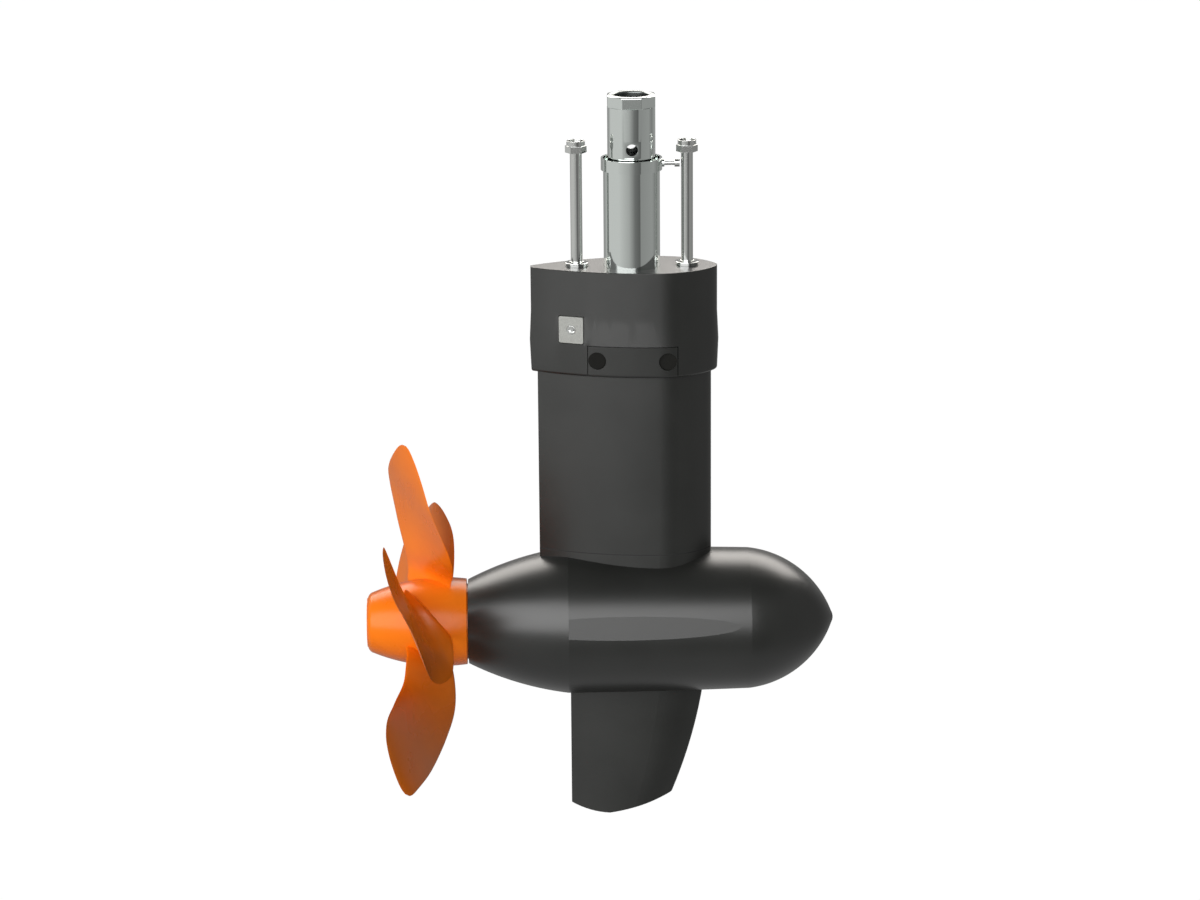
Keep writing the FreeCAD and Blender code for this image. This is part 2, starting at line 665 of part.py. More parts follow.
def make_head_casting():
    body = new_body("head_body")
    head_form(body)
    hollow_head(body)
    pocket(body, "head_room", [plan(head_room_inset)], -leg_top, -s.head_roof)
    pocket(body, "stem_way", [(0, 0, s.stem_radius - s.stem_wall)], -s.head_roof - 1, 0)
    pocket(body, "stem_seat", [(0, 0, s.stem_radius + s.press_gap)], s.stem_shoulder - s.head_roof, 0)
    reach = s.stud_spacing / 2
    hole = s.stud_neck_radius + s.press_gap
    pocket(body, "stud_holes", [(-reach, 0, hole), (reach, 0, hole)], -s.head_roof - 1, 0)
    spot = s.stud_washer_radius + s.fit_gap
    pocket(body, "spot_faces", [(-reach, 0, spot), (reach, 0, spot)], -s.spot_depth, 0)
    left, right = s.cover_tail - s.cover_slot, s.cover_nose + s.cover_slot
    window = box_corners(left, right, -s.head_height - 1, -belt_middle)
    pocket(body, "windows", [window], s.head_half * -2, s.head_half * 2, "XZ_Plane")
    grow = s.anode_gap * 2
    seat = anode_block("anode_pocket", s.anode_length + grow, s.anode_height + grow, s.anode_thickness * 2)
    thread = anode_body("anode_thread")
    hole = s.anode_screw_radius + s.press_gap
    pad(thread, "anode_thread_hole", [(0, 0, hole)], 0, s.anode_screw_length + 0.5, "XZ_Plane")
    pocketed = boolean("Cut", "head_with_pocket", body, seat)
    return boolean("Cut", "head_casting", pocketed, thread)


def make_clamp_covers():
    """Two cheeks that close the windows; their bosses take the clamp bolts."""
    forms = []
    for side in ("starboard", "port"):
        body = new_body(f"cover_form_{side}")
        head_form(body)
        hollow_head(body)
        inner = plan_half(s.bolt_aft, socket_inset)[0] + 2
        low, high = (s.boss_reach, inner) if side == "starboard" else (-inner, -s.boss_reach)
        pad(body, f"bosses_{side}", bolt_circles(s.boss_radius), low, high, "XZ_Plane")
        outer_boss = plan_half(s.bolt_ahead, socket_inset, True)[0] + 1
        low, high = (s.boss_reach, outer_boss) if side == "starboard" else (-outer_boss, -s.boss_reach)
        ahead = [(s.bolt_ahead, -bolt_drop, s.boss_radius)]
        pad(body, f"boss_ahead_{side}", ahead, low, high, "XZ_Plane")
        reach = s.head_half * 2
        holes = bolt_circles(s.bolt_radius + s.bolt_play)
        pocket(body, f"bolt_holes_{side}", holes, -reach, reach, "XZ_Plane")
        low, high = (s.bolt_seat, reach) if side == "starboard" else (-reach, -s.bolt_seat)
        pocket(body, f"plug_holes_{side}", bolt_circles(s.plug_radius + s.press_gap), low, high, "XZ_Plane")
        window = doc.addObject("Part::Box", f"window_{side}")
        bind(window, "Length", s.cover_nose - s.cover_tail)
        bind(window, "Width", s.head_half * 2)
        bind(window, "Height", s.head_height - belt_middle)
        bind(window, "Placement.Base.x", s.cover_tail)
        start = s.head_half * -2 - s.boss_reach if side == "starboard" else s.boss_reach
        bind(window, "Placement.Base.y", start)
        bind(window, "Placement.Base.z", -s.head_height - s.cover_slot)
        forms.append(boolean("Common", f"clamp_cover_{side}", body, window))
    return forms


def make_clamp_bolts():
    bolts = new_body("clamp_bolts")
    tip = s.bolt_seat + s.clamp_nut_height
    pad(bolts, "clamp_shanks", bolt_circles(s.bolt_radius), -tip, s.bolt_seat, "XZ_Plane")
    heads = bolt_circles(s.bolt_head_radius)
    pad(bolts, "clamp_heads", heads, s.bolt_seat, s.bolt_seat + s.bolt_head_height, "XZ_Plane")
    nuts = new_body("clamp_nuts")
    shapes = []
    for across, up in bolt_places:
        shapes.append(shifted(polygon(s.clamp_nut_flats, 6), across, up))
        shapes.append((across, up, s.bolt_radius + s.press_gap))
    pad(nuts, "clamp_nut_outline", shapes, -tip, -s.bolt_seat, "XZ_Plane")
    plugs = new_body("bolt_plugs")
    for place, (across, up) in enumerate(bolt_places):
        face = plan_half(across, 0, place == 1)[0] - s.plug_recess
        circle = [(across, up, s.plug_radius)]
        pad(plugs, f"plug_starboard_{place + 1}", circle, face - s.plug_length, face, "XZ_Plane")
        pad(plugs, f"plug_port_{place + 1}", circle, -face, s.plug_length - face, "XZ_Plane")
    return [bolts, nuts, plugs]


# Anode, in the plane that touches the head's starboard side at its station

def anode_body(label):
    """A body whose -Y axis points into the head there; its origin is on the pocket's floor."""
    body = new_body(label)
    half, radius = plan_half(s.anode_station, 0)
    slope = slope_angle(s.widest_station - s.anode_station, radius)
    body.Placement = Placement(Vector(0, 0, 0), Rotation(Vector(0, 0, 1), 180 - slope.number))
    bind(body, "Placement.Rotation.Angle", 180 - slope)
    bind(body, "Placement.Base.x", s.anode_station + s.anode_recess * sine(slope))
    bind(body, "Placement.Base.y", s.anode_recess * cosine(slope) - half)
    bind(body, "Placement.Base.z", -s.anode_drop)
    return body


def anode_block(label, length, height, thickness):
    body = anode_body(label)
    outline = box_corners(length / -2, length / 2, height / -2, height / 2)
    block = pad(body, f"{label}_outline", [outline], -thickness, 0, "XZ_Plane")
    finish_edges(body, block, "Fillet", s.anode_gap * 2.5, lambda centre, box: box.YLength > 1)
    return body


def make_anode():
    anode = anode_block("anode", s.anode_length, s.anode_height, s.anode_thickness)
    sink = s.anode_screw_radius
    top = s.anode_thickness
    play = s.anode_screw_radius + s.bolt_play
    wide = s.anode_screw_head + s.bolt_play
    cone = [(0, -1), (play, -1), (play, top - sink), (wide, top), (wide, top + 1), (0, top + 1)]
    turn_profile(anode, "anode_hole", cone, "V_Axis", "XY_Plane", "Groove")
    screw = anode_body("anode_screw")
    profile = [(0, -s.anode_screw_length), (s.anode_screw_radius, -s.anode_screw_length),
               (s.anode_screw_radius, top - sink), (s.anode_screw_head, top), (0, top)]
    turn_profile(screw, "anode_screw_profile", profile, "V_Axis", "XY_Plane")
    pocket(screw, "anode_screw_socket", [polygon(s.anode_screw_radius * 1.6, 6)], -top, 1.5 - top, "XZ_Plane")
    return [anode, screw]


# Stem, conduit and what is on them

def make_stem():
    inner = s.stem_radius - s.stem_wall
    tube = new_body("stem_tube")
    foot = s.stem_shoulder - s.head_roof
    pad(tube, "stem_tube_outline", [(0, 0, s.stem_radius), (0, 0, inner)], foot, s.stem_top)
    conduit = new_body("cable_conduit")
    bore = s.conduit_radius - s.conduit_wall
    outline = [(0, 0, s.conduit_radius), (0, 0, bore)]
    pad(conduit, "conduit_outline", outline, s.conduit_bottom, s.conduit_top)
    half_height = s.flat_height / 2
    flat_low, flat_high = s.flat_middle - half_height, s.flat_middle + half_height
    flat = box_corners(-s.conduit_radius, s.conduit_radius, flat_low, flat_high)
    pocket(conduit, "flat_starboard", [flat], s.flat_reach, s.conduit_radius + 1, "XZ_Plane")
    pocket(conduit, "flat_port", [flat], -s.conduit_radius - 1, -s.flat_reach, "XZ_Plane")
    hole = [(0, s.flat_middle, s.flat_hole)]
    pocket(conduit, "cross_hole", hole, -s.conduit_radius - 1, s.conduit_radius + 1, "XZ_Plane")
    bushes = new_body("conduit_bushes")
    outline = [(0, 0, inner - s.press_gap), (0, 0, s.conduit_radius + s.press_gap)]
    pad(bushes, "upper_bush", outline, s.bush_top - s.bush_length, s.bush_top)
    pad(bushes, "lower_bush", outline, foot, foot + s.bush_length)
    nut = new_body("conduit_nut")
    top = s.conduit_top + s.octagon_height
    outline = [polygon(s.octagon_flats, 8), (0, 0, s.octagon_bore)]
    block = pad(nut, "conduit_nut_outline", outline, s.conduit_top, top)
    level = top.number - 0.1
    finish_edges(nut, block, "Chamfer", s.octagon_bevel, lambda centre, box: box.ZMin > level)
    spigot = [(0, 0, bore - s.press_gap), (0, 0, s.octagon_bore)]
    pad(nut, "conduit_nut_spigot", spigot, s.conduit_top - s.octagon_spigot, s.conduit_top)
    return [tube, conduit, bushes, nut]


def make_collar():
    collar = new_body("stem_collar")
    inner = s.stem_radius + s.press_gap * 2
    pad(collar, "collar_outline", [(0, 0, s.collar_radius), (0, 0, inner)], s.collar_bottom, s.collar_top)
    lug = [(0, s.lock_height, s.lug_radius)]
    pad(collar, "collar_lug", lug, inner + 0.5, s.lug_reach, "YZ_Plane")
    hole = [(0, s.lock_height, s.lock_radius + s.press_gap)]
    pocket(collar, "collar_thread", hole, s.conduit_radius, s.lug_reach + 1, "YZ_Plane")
    screw = new_body("lock_screw")
    bind(screw, "Placement.Base.z", s.lock_height)
    end = s.lock_head + s.lock_head_length
    profile = [(s.lock_tip, 0), (end, 0), (end, s.lock_head_radius), (s.lock_head, s.lock_head_radius),
               (s.lock_head, s.lock_radius), (s.lock_tip, s.lock_radius)]
    turn_profile(screw, "lock_screw_profile", profile)
    socket = [polygon(s.lock_radius * 1.6, 6)]
    pocket(screw, "lock_screw_socket", socket, end - s.lock_radius, end, "YZ_Plane")
    return [collar, screw]


# Hull studs

def make_studs():
    reach = s.stud_spacing / 2
    hole = s.stud_thread_radius + s.press_gap
    studs = new_body("hull_studs")
    neck = pad(studs, "stud_neck", [(reach, 0, s.stud_neck_radius)], -s.head_roof, -s.spot_depth)
    shank = pad(studs, "stud_shank", [(reach, 0, s.stud_radius)], -s.spot_depth, s.stud_thread_start)
    thread = pad(studs, "stud_thread", [(reach, 0, s.stud_thread_radius)], s.stud_thread_start, s.stud_top)
    head = shifted(polygon(s.stud_head_flats, 6), reach, 0)
    head = pad(studs, "stud_head", [head], -s.head_roof - s.stud_head_height, -s.head_roof)
    ring_of(studs, [neck, shank, thread, head], 2, "Z_Axis")
    washers = new_body("stud_washers")
    outline = [(reach, 0, s.stud_washer_radius), (reach, 0, s.stud_radius + s.stud_washer_play)]
    ring_of(washers, [pad(washers, "stud_washer", outline, -s.spot_depth, s.stud_washer_height)], 2, "Z_Axis")
    nuts = new_body("stud_nuts")
    shoulder = s.stud_nut_bottom + s.stud_nut_height
    top = shoulder + s.stud_collar_height
    bore = s.stud_collar_radius - s.stud_collar_wall
    outline = [shifted(polygon(s.stud_nut_flats, 6), reach, 0), (reach, 0, hole)]
    block = pad(nuts, "stud_nut", outline, s.stud_nut_bottom, shoulder)
    collar = pad(nuts, "stud_nut_collar", [(reach, 0, s.stud_collar_radius), (reach, 0, bore)], shoulder, top)
    ring_of(nuts, [block, collar], 2, "Z_Axis")
    inserts = new_body("stud_nut_inserts")
    outline = [(reach, 0, bore - s.press_gap), (reach, 0, hole)]
    insert = pad(inserts, "stud_insert", outline, shoulder, shoulder + s.insert_height)
    ring_of(inserts, [insert], 2, "Z_Axis")
    return [studs, washers, nuts, inserts]


# Leg

leg_bolt_places = [
    (s.bolt_aft, s.leg_bolt_spread_aft),
    (s.bolt_aft, -s.leg_bolt_spread_aft),
    (s.bolt_ahead, s.leg_bolt_spread_ahead),
    (s.bolt_ahead, -s.leg_bolt_spread_ahead),
]


def leg_bolt_circles(radius):
    return [(across, up, radius) for across, up in leg_bolt_places]


def leg_hollows(inset):
    """The hollows of the leg, with a solid web at each pair of bolts."""
    aft_web, front_web = s.bolt_aft, s.bolt_ahead
    return [
        slice_of_plan(s.leg_cavity_aft, aft_web - s.web_half, inset),
        slice_of_plan(aft_web + s.web_half, front_web - s.web_half, inset),
        slice_of_plan(front_web + s.web_half, s.leg_cavity_front, inset, True),
    ]


def make_leg():
    leg = new_body("leg")
    inset = s.leg_inset + s.leg_wall
    pad(leg, "leg_outline", [plan(s.leg_inset), *leg_hollows(inset)], -leg_bottom, -leg_top)
    reach = s.head_half * 2
    seat = bolt_circles(s.boss_radius + s.bolt_play)
    pocket(leg, "boss_seat_starboard", seat, s.boss_reach, reach, "XZ_Plane")
    pocket(leg, "boss_seat_port", seat, -reach, -s.boss_reach, "XZ_Plane")
    pocket(leg, "clamp_holes", bolt_circles(s.bolt_radius + s.bolt_play), -reach, reach, "XZ_Plane")
    tapped = leg_bolt_circles(s.leg_bolt_radius + s.press_gap)
    depth = s.leg_bolt_length - s.leg_bolt_grip
    pocket(leg, "leg_threads", tapped, -leg_bottom - 1, depth - leg_bottom)
    top = new_body("leg_top_gasket")
    outline = [plan(s.leg_inset), *leg_hollows(inset)]
    pad(top, "leg_top_gasket_outline", outline, -leg_top, s.gasket - leg_top)
    bottom = new_body("leg_bottom_gasket")
    foot = -leg_bottom - s.gasket
    outline = [plan(s.leg_inset), *leg_hollows(inset), *leg_bolt_circles(s.leg_bolt_radius + s.bolt_play)]
    pad(bottom, "leg_bottom_gasket_outline", outline, foot, -leg_bottom)
    bolts = new_body("leg_bolts")
    seat = foot - s.leg_bolt_grip
    pad(bolts, "leg_bolt_shanks", leg_bolt_circles(s.leg_bolt_radius), seat, seat + s.leg_bolt_length)
    heads = leg_bolt_circles(s.leg_bolt_head_radius)
    pad(bolts, "leg_bolt_heads", heads, seat - s.leg_bolt_head_height, seat)
    return [leg, top, bottom, bolts]


# Motor housing with its neck and fin

def neck_outline(ahead):
    """The leg's plan ahead of the aft seam, or the block aft of it."""
    half, radius = plan_half(s.seam_aft, s.leg_inset)
    corners = plan(s.leg_inset)
    if ahead:
        return [(s.seam_aft, -half, radius, 1), *corners[1:5], (s.seam_aft, half)]
    return [corners[0][:2] + (radius, 1), (s.seam_aft, -half), (s.seam_aft, half, radius, 1), corners[5]]


def fin_section(drop, nose, half):
    widest = s.fin_tail + (nose - s.fin_tail) * s.fin_widest_share
    ends = (s.fin_tail_half, s.fin_nose_half, s.fin_nose_sag)
    return drop, strut_section(s.fin_tail, widest, nose, half, *ends)


def make_motor_housing():
    body = pod_body("housing_body")
    aft, front = s.seam_aft, s.seam_front
    outer = [(aft, 0), (front, 0), (front, s.pod_front_radius, s.belly_arc, 1), (aft, s.pod_radius)]
    turn_profile(body, "housing_barrel", outer)
    pad(body, "housing_neck", [neck_outline(True)], s.fin_root, neck_top)
    sections = [
        fin_section(s.fin_root, s.fin_root_nose, s.fin_root_half),
        fin_section(s.fin_middle, s.fin_middle_nose, s.fin_middle_half),
        fin_section(s.fin_low, s.fin_low_nose, s.fin_low_half),
    ]
    sketches = []
    for place, (drop, outline) in enumerate(sections):
        sketch = new_sketch(body, "XY_Plane", f"fin_section_{place + 1}", -drop)
        draw_outline(sketch, outline)
        sketches.append(sketch)
    fin = body.newObject("PartDesign::AdditiveLoft", "fin")
    fin.Profile = sketches[0]
    fin.Sections = sketches[1:]
    below = s.fin_low + 10
    toe_arc = arc_radius(root(s.toe_run * s.toe_run + s.toe_rise * s.toe_rise) / 2, s.toe_sag)
    trim = [
        (s.fin_tail - 5, -s.fin_heel),
        (s.fin_tail, -s.fin_heel, s.fin_heel_arc, 1),
        (s.fin_deepest_station, -s.fin_deepest, s.fin_belly_arc, 1),
        (s.fin_toe_station, -s.fin_toe, toe_arc, 1),
        (knee_station, -knee),
        (s.fin_root_nose, -knee),
        (s.fin_root_nose, -below),
        (s.fin_tail - 5, -below),
    ]
    pocket(body, "fin_trim", [trim], s.fin_root_half * -2, s.fin_root_half * 2, "XZ_Plane")
    seat = s.spigot_length
    bore = [(aft, 0), (front, 0), (front, s.spigot_radius), (front - seat, s.spigot_radius),
            (front - seat, s.motor_bore), (aft + seat, s.motor_bore), (aft + seat, s.spigot_radius),
            (aft, s.spigot_radius)]
    turn_profile(body, "housing_bore", bore, kind="Groove")
    slot_aft = s.stack_aft + s.stack_length + s.cable_slot_ahead
    slot = box_corners(slot_aft, slot_aft + s.cable_slot_length, -s.cable_slot_half, s.cable_slot_half)
    pocket(body, "cable_slot", [slot], s.fin_root, neck_top)
    holes = leg_bolt_circles(s.leg_bolt_radius + s.bolt_play)
    pocket(body, "leg_bolt_holes", holes, s.fin_root, neck_top)
    sinks = leg_bolt_circles(s.leg_bolt_head_radius + s.bolt_play)
    pocket(body, "leg_bolt_sinks", sinks, s.fin_root / 2, neck_top - s.leg_bolt_grip)
    starboard = make_cheek("starboard", -s.cheek_tilt, -1)
    port = make_cheek("port", s.cheek_tilt, 1)
    half_done = boolean("Cut", "housing_one_cheek", body, starboard)
    return boolean("Cut", "motor_housing", half_done, port)


def make_cheek(side, tilt, sign):
    """Wedge that planes the flat cheek of one side."""
    cutter = pod_body(f"cheek_{side}", tilt)
    aft, front = s.seam_aft - 1, s.seam_front + 1
    outside = s.pod_radius * 1.2
    corners = [(aft, s.cheek_aft * sign), (front, s.cheek_front * sign)]
    corners += [(front, outside * sign), (aft, outside * sign)]
    pad(cutter, f"cheek_{side}_wedge", [corners], s.pod_radius * -1, s.pod_radius)
    return cutter


def spigot_corners(shoulder, end, inner):
    """Spigot with the groove of its sealing ring, from its end to its shoulder."""
    outer = s.spigot_radius - s.press_gap
    floor = outer - s.ring_groove_depth
    middle = (shoulder + end) / 2
    half = s.ring_groove_width / 2
    if end.number < shoulder.number:
        half = -half
    return [(end, inner), (end, outer), (middle + half, outer), (middle + half, floor), (middle - half, floor),
            (middle - half, outer), (shoulder, outer)]


def make_cones():
    inner = s.spigot_radius - s.spigot_wall
    rear = pod_body("rear_cone")
    outer = [(s.cone_aft, 0), (s.seam_aft, 0)]
    outer += [(s.seam_aft, s.pod_radius, s.cone_arc, 1), (s.cone_aft, s.cone_aft_radius)]
    turn_profile(rear, "rear_cone_form", outer)
    pad(rear, "rear_cone_block", [neck_outline(False)], s.fin_root, neck_top)
    end = s.seam_aft + s.spigot_length
    collar = spigot_corners(s.seam_aft, end, inner)
    root_aft = s.seam_aft - 1
    spigot = [(root_aft, inner), *collar, (root_aft, s.spigot_radius - s.press_gap)]
    turn_profile(rear, "rear_cone_spigot", spigot)
    floor = s.cone_aft + s.cone_floor
    tube_end = s.cone_aft + s.seal_tube_length
    tube = s.seal_bore + s.seal_tube_wall
    hollow = [(s.cone_aft - 1, 0), (end + 1, 0), (end + 1, inner), (s.seam_aft, inner, s.cone_arc, 1),
              (floor, s.cone_floor_radius), (floor, tube), (tube_end, tube), (tube_end, s.seal_bore),
              (s.cone_aft - 1, s.seal_bore)]
    turn_profile(rear, "rear_cone_hollow", hollow, kind="Groove")
    nose = pod_body("nose_cone")
    tip = s.nose_tip - s.tip_sag
    end = s.seam_front - s.spigot_length
    wall = s.cone_wall
    profile = [
        (s.nose_tip, 0, arc_radius(s.tip_half, s.tip_sag), 1),
        (tip, s.tip_half, s.nose_arc, 1),
        (s.seam_front, s.pod_front_radius),
        *reversed(spigot_corners(s.seam_front, end, inner)),
        (s.seam_front, inner),
        (s.seam_front, s.pod_front_radius - wall, s.nose_arc - wall, -1),
        (s.nose_tip - wall, 0),
    ]
    turn_profile(nose, "nose_cone_form", profile)
    rings = []
    places = [("rear_cone_seal", s.seam_aft, s.spigot_length), ("nose_seal", s.seam_front, -s.spigot_length)]
    for label, shoulder, reach in places:
        middle = shoulder + reach / 2
        half = s.ring_groove_width / 2 - s.press_gap
        floor = s.spigot_radius - s.press_gap - s.ring_groove_depth
        rings.append(pod_ring(label, middle - half, middle + half, floor, s.spigot_radius - s.press_gap))
    return [rear, nose, *rings]


# Stator and rotor

slots = 12
magnets = 10
rotor_holes = 6
phases = 3
board_screws = 3
cans = 4
blades = 5
cap_notches = 30


def make_stator():
    stack_front = s.stack_aft + s.stack_length
    core = pod_ring("stator_core", s.stack_aft, stack_front, s.stator_bore, s.motor_bore - s.press_gap)
    mouth, start, floor = s.stator_bore - 1, s.slot_root, s.slot_floor
    half = [(s.slot_mouth_half, mouth), (s.slot_mouth_half, start - 1)]
    half += [(s.slot_root_half, start), (s.slot_floor_half, floor)]
    outline = half + [(-corner[0], corner[1]) for corner in reversed(half)]
    slot = pocket(core, "winding_slot", [outline], s.stack_aft - 1, stack_front + 1, "YZ_Plane")
    ring_of(core, [slot], slots)
    windings = pod_body("stator_windings", 180 / slots)
    aft, front = s.stack_aft - s.fit_gap, s.stack_aft + s.stack_length + s.fit_gap
    inner = box_corners(aft, front, -s.coil_inner_half, s.coil_inner_half)
    side = s.coil_inner_half + s.coil_side
    turned_back = s.coil_overhang - s.fit_gap
    outer = box_corners(aft - turned_back, front + turned_back, -side, side)
    ring_of(windings, [pad(windings, "coil", [outer, inner], s.coil_bottom, s.coil_top)], slots)
    return [core, windings]


def make_rotor():
    front = s.rotor_aft + s.rotor_length
    seat = s.rotor_seat_radius + s.press_gap
    core = pod_ring("rotor_core", s.rotor_aft, front, seat, s.rotor_radius, s.blade_turn)
    middle = (s.rotor_radius + s.rotor_seat_radius) / 2
    lightening = [(0, middle, s.rotor_hole_radius)]
    hole = pocket(core, "rotor_hole", lightening, s.rotor_aft - 1, front + 1, "YZ_Plane")
    ring_of(core, [hole], rotor_holes)
    body = pod_body("rotor_magnets", s.blade_turn)
    across, up = sine(s.magnet_half_angle), cosine(s.magnet_half_angle)
    low, high = s.rotor_radius + s.press_gap, s.magnet_radius
    outline = [(low * across, low * up), (high * across, high * up, high, 1), (-high * across, high * up),
               (-low * across, low * up, low, -1)]
    ring_of(body, [pad(body, "magnet", [outline], s.rotor_aft + 2, front - 2, "YZ_Plane")], magnets)
    return [core, body]


# Shaft, bearings and seals

def make_shaft():
    shaft = pod_body("prop_shaft", s.blade_turn)
    rear_seat = s.rear_bearing_aft + s.rear_bearing_width
    front_shoulder = s.front_bearing_aft - 0.5
    groove = s.front_bearing_aft + s.front_bearing_width
    groove_end = groove + s.circlip_width
    steps = [
        (s.shaft_end, s.thread_radius),
        (s.prop_seat_aft, s.prop_seat_radius),
        (s.prop_shoulder, s.shaft_radius),
        (rear_seat, s.shaft_flange_radius),
        (s.rotor_aft, s.rotor_seat_radius),
        (front_shoulder, s.front_seat_radius),
        (groove, s.circlip_seat_radius),
        (groove_end, s.front_seat_radius),
    ]
    corners = [(s.shaft_end, 0)]
    for place, (station, radius) in enumerate(steps):
        after = steps[place + 1][0] if place + 1 < len(steps) else s.shaft_front
        corners += [(station, radius), (after, radius)]
    turn_profile(shaft, "shaft_profile", corners + [(s.shaft_front, 0)])
    reach = s.shaft_radius + 1
    pocket(shaft, "pin_hole", [(s.pin_station, 0, s.pin_radius + s.press_gap)], -reach, reach)
    clip = pod_body("shaft_circlip", s.blade_turn)
    clip_outer = s.front_seat_radius + s.circlip_reach
    turn_profile(clip, "circlip_profile",
                 ring_corners(groove + s.press_gap, groove_end - s.press_gap,
                              s.circlip_seat_radius + s.press_gap, clip_outer))
    gap = box_corners(-s.circlip_reach, s.circlip_reach, 0, clip_outer + 1)
    pocket(clip, "circlip_gap", [gap], groove - 1, groove_end + 1, "YZ_Plane")
    return [shaft, clip]


def make_bearing(prefix, aft, width, bore, outside, pitch, ball, count):
    """Outer ring, inner ring and balls; the raceways are grooves a little wider than the balls."""
    middle, front = aft + width / 2, aft + width
    race = ball + s.race_play
    depth = ball * 0.6
    half = root(race * race - depth * depth)
    outer = pod_body(f"{prefix}_bearing_outer")
    land = pitch + depth
    edge = outside - s.press_gap
    turn_profile(outer, f"{prefix}_outer_profile",
                 [(aft, land), (middle - half, land, race, -1), (middle + half, land), (front, land),
                  (front, edge), (aft, edge)])
    inner = pod_body(f"{prefix}_bearing_inner", s.blade_turn)
    land = pitch - depth
    edge = bore + s.press_gap
    turn_profile(inner, f"{prefix}_inner_profile",
                 [(aft, edge), (front, edge), (front, land), (middle + half, land, race, -1),
                  (middle - half, land), (aft, land)])
    balls = pod_body(f"{prefix}_bearing_balls", s.blade_turn)
    sphere = balls.newObject("PartDesign::AdditiveSphere", f"{prefix}_ball")
    sphere.AttachmentSupport = (origin_part(balls, "XY_Plane"), [""])
    sphere.MapMode = "FlatFace"
    bind(sphere, "Radius", ball)
    bind(sphere, "AttachmentOffset.Base.x", middle)
    bind(sphere, "AttachmentOffset.Base.z", pitch)
    ring_of(balls, [sphere], count)
    return [outer, inner, balls]


def make_bracket(label, aft, width, web_aft, seat, hub, lip, hole_radius, hole_circle, holes):
    """Web that carries a bearing in the motor bore, with a lip that stops the bearing's ring."""
    front = aft + width
    rim = s.motor_bore - s.press_gap
    web_front = web_aft + s.bracket_web
    inside = rim - s.bracket_web
    body = pod_body(label, 180 / slots)
    lip_side, lip_end = (front, front + s.bracket_lip) if lip > 0 else (aft, aft - s.bracket_lip)
    step = seat - s.bracket_lip
    if lip > 0:
        corners = [(aft, seat), (lip_side, seat), (lip_side, step), (lip_end, step), (lip_end, hub)]
        corners += [(web_front, hub), (web_front, inside), (front, inside), (front, rim), (aft, rim), (aft, inside),
                    (web_aft, inside), (web_aft, hub), (aft, hub)]
    else:
        corners = [(front, seat), (front, hub), (web_front, hub), (web_front, inside), (front, inside), (front, rim),
                   (aft, rim), (aft, inside), (web_aft, inside), (web_aft, hub), (lip_end, hub), (lip_end, step),
                   (lip_side, step), (lip_side, seat)]
    turn_profile(body, f"{label}_profile", corners)
    hole = pocket(body, f"{label}_hole", [(0, hole_circle, hole_radius)], web_aft - 1, web_front + 1, "YZ_Plane")
    ring_of(body, [hole], holes)
    return body


def make_seals():
    body = pod_body("shaft_seals")
    outer, lip = s.seal_bore - s.press_gap, s.shaft_radius + s.seal_gap
    for place in range(2):
        aft = s.seal_aft + s.seal_pitch * place
        wall = s.seal_wall
        profile = [(aft, outer), (aft, lip + wall), (aft + wall, lip), (aft + wall * 2, lip),
                   (aft + wall * 2, lip + wall * 2),
                   (aft + wall, lip + wall * 3), (aft + wall, outer - wall), (aft + s.seal_width, outer - wall),
                   (aft + s.seal_width, outer)]
        turn_profile(body, f"seal_{place + 1}_profile", profile)
    retainer = pod_ring("seal_retainer", s.seal_aft - s.retainer_width, s.seal_aft, s.seal_bore - s.retainer_width * 3,
                        s.seal_bore - s.press_gap)
    return [body, retainer]


# Electronics

def make_electronics():
    third = 180 / slots
    spreader = pod_ring("heat_spreader", s.spreader_aft, s.spreader_aft + s.spreader_thickness, s.lead_radius,
                        s.motor_bore - s.press_gap, third)
    spreader_front = s.spreader_aft + s.spreader_thickness
    board_aft = spreader_front + s.module_height
    board_front = board_aft + s.board_thickness
    leads_way = [(0, s.lead_circle, s.lead_radius + s.bolt_play)]
    hole = pocket(spreader, "spreader_hole", leads_way, s.spreader_aft - 1, spreader_front + 1, "YZ_Plane")
    ring_of(spreader, [hole], phases)
    modules = pod_body("power_modules", third)
    wide, low, tall = s.module_width / 2, s.module_low, s.module_low + s.module_width
    outline = box_corners(-wide, wide, low, tall)
    ring_of(modules, [pad(modules, "module", [outline], spreader_front, board_aft, "YZ_Plane")], phases * 2)
    board = pod_ring("control_board", board_aft, board_front, s.lead_radius, s.board_radius, third)
    screw_hole = [(0, -s.screw_circle, s.board_screw + s.press_gap)]
    hole = pocket(board, "board_hole", screw_hole, board_aft - 1, board_front + 1, "YZ_Plane")
    ring_of(board, [hole], board_screws)
    screws = pod_body("board_screws", third)
    shank = pad(screws, "board_shank", [(0, -s.screw_circle, s.board_screw)], spreader_front, board_front, "YZ_Plane")
    head = pad(screws, "board_screw_head", [(0, -s.screw_circle, s.board_screw * 2)], board_front,
               board_front + s.board_screw * 1.5, "YZ_Plane")
    ring_of(screws, [shank, head], board_screws)
    capacitors = pod_body("capacitors", third)
    can = [(0, s.capacitor_circle, s.capacitor_radius)]
    can_end = board_front + s.capacitor_length
    ring_of(capacitors, [pad(capacitors, "capacitor", can, board_front, can_end, "YZ_Plane")], cans)
    leads = pod_body("phase_leads", third)
    coil_end = s.stack_aft + s.stack_length + s.coil_overhang
    lead = pad(leads, "lead", [(0, s.lead_circle, s.lead_radius)], coil_end, board_aft, "YZ_Plane")
    ring_of(leads, [lead], phases)
    hall = pod_ring("hall_ring", s.front_bearing_aft - s.bracket_lip - s.hall_thickness, s.front_bearing_aft - s.bracket_lip,
                    s.front_bearing_radius + 1, s.hall_radius)
    return [spreader, modules, board, screws, capacitors, leads, hall]


# Propeller

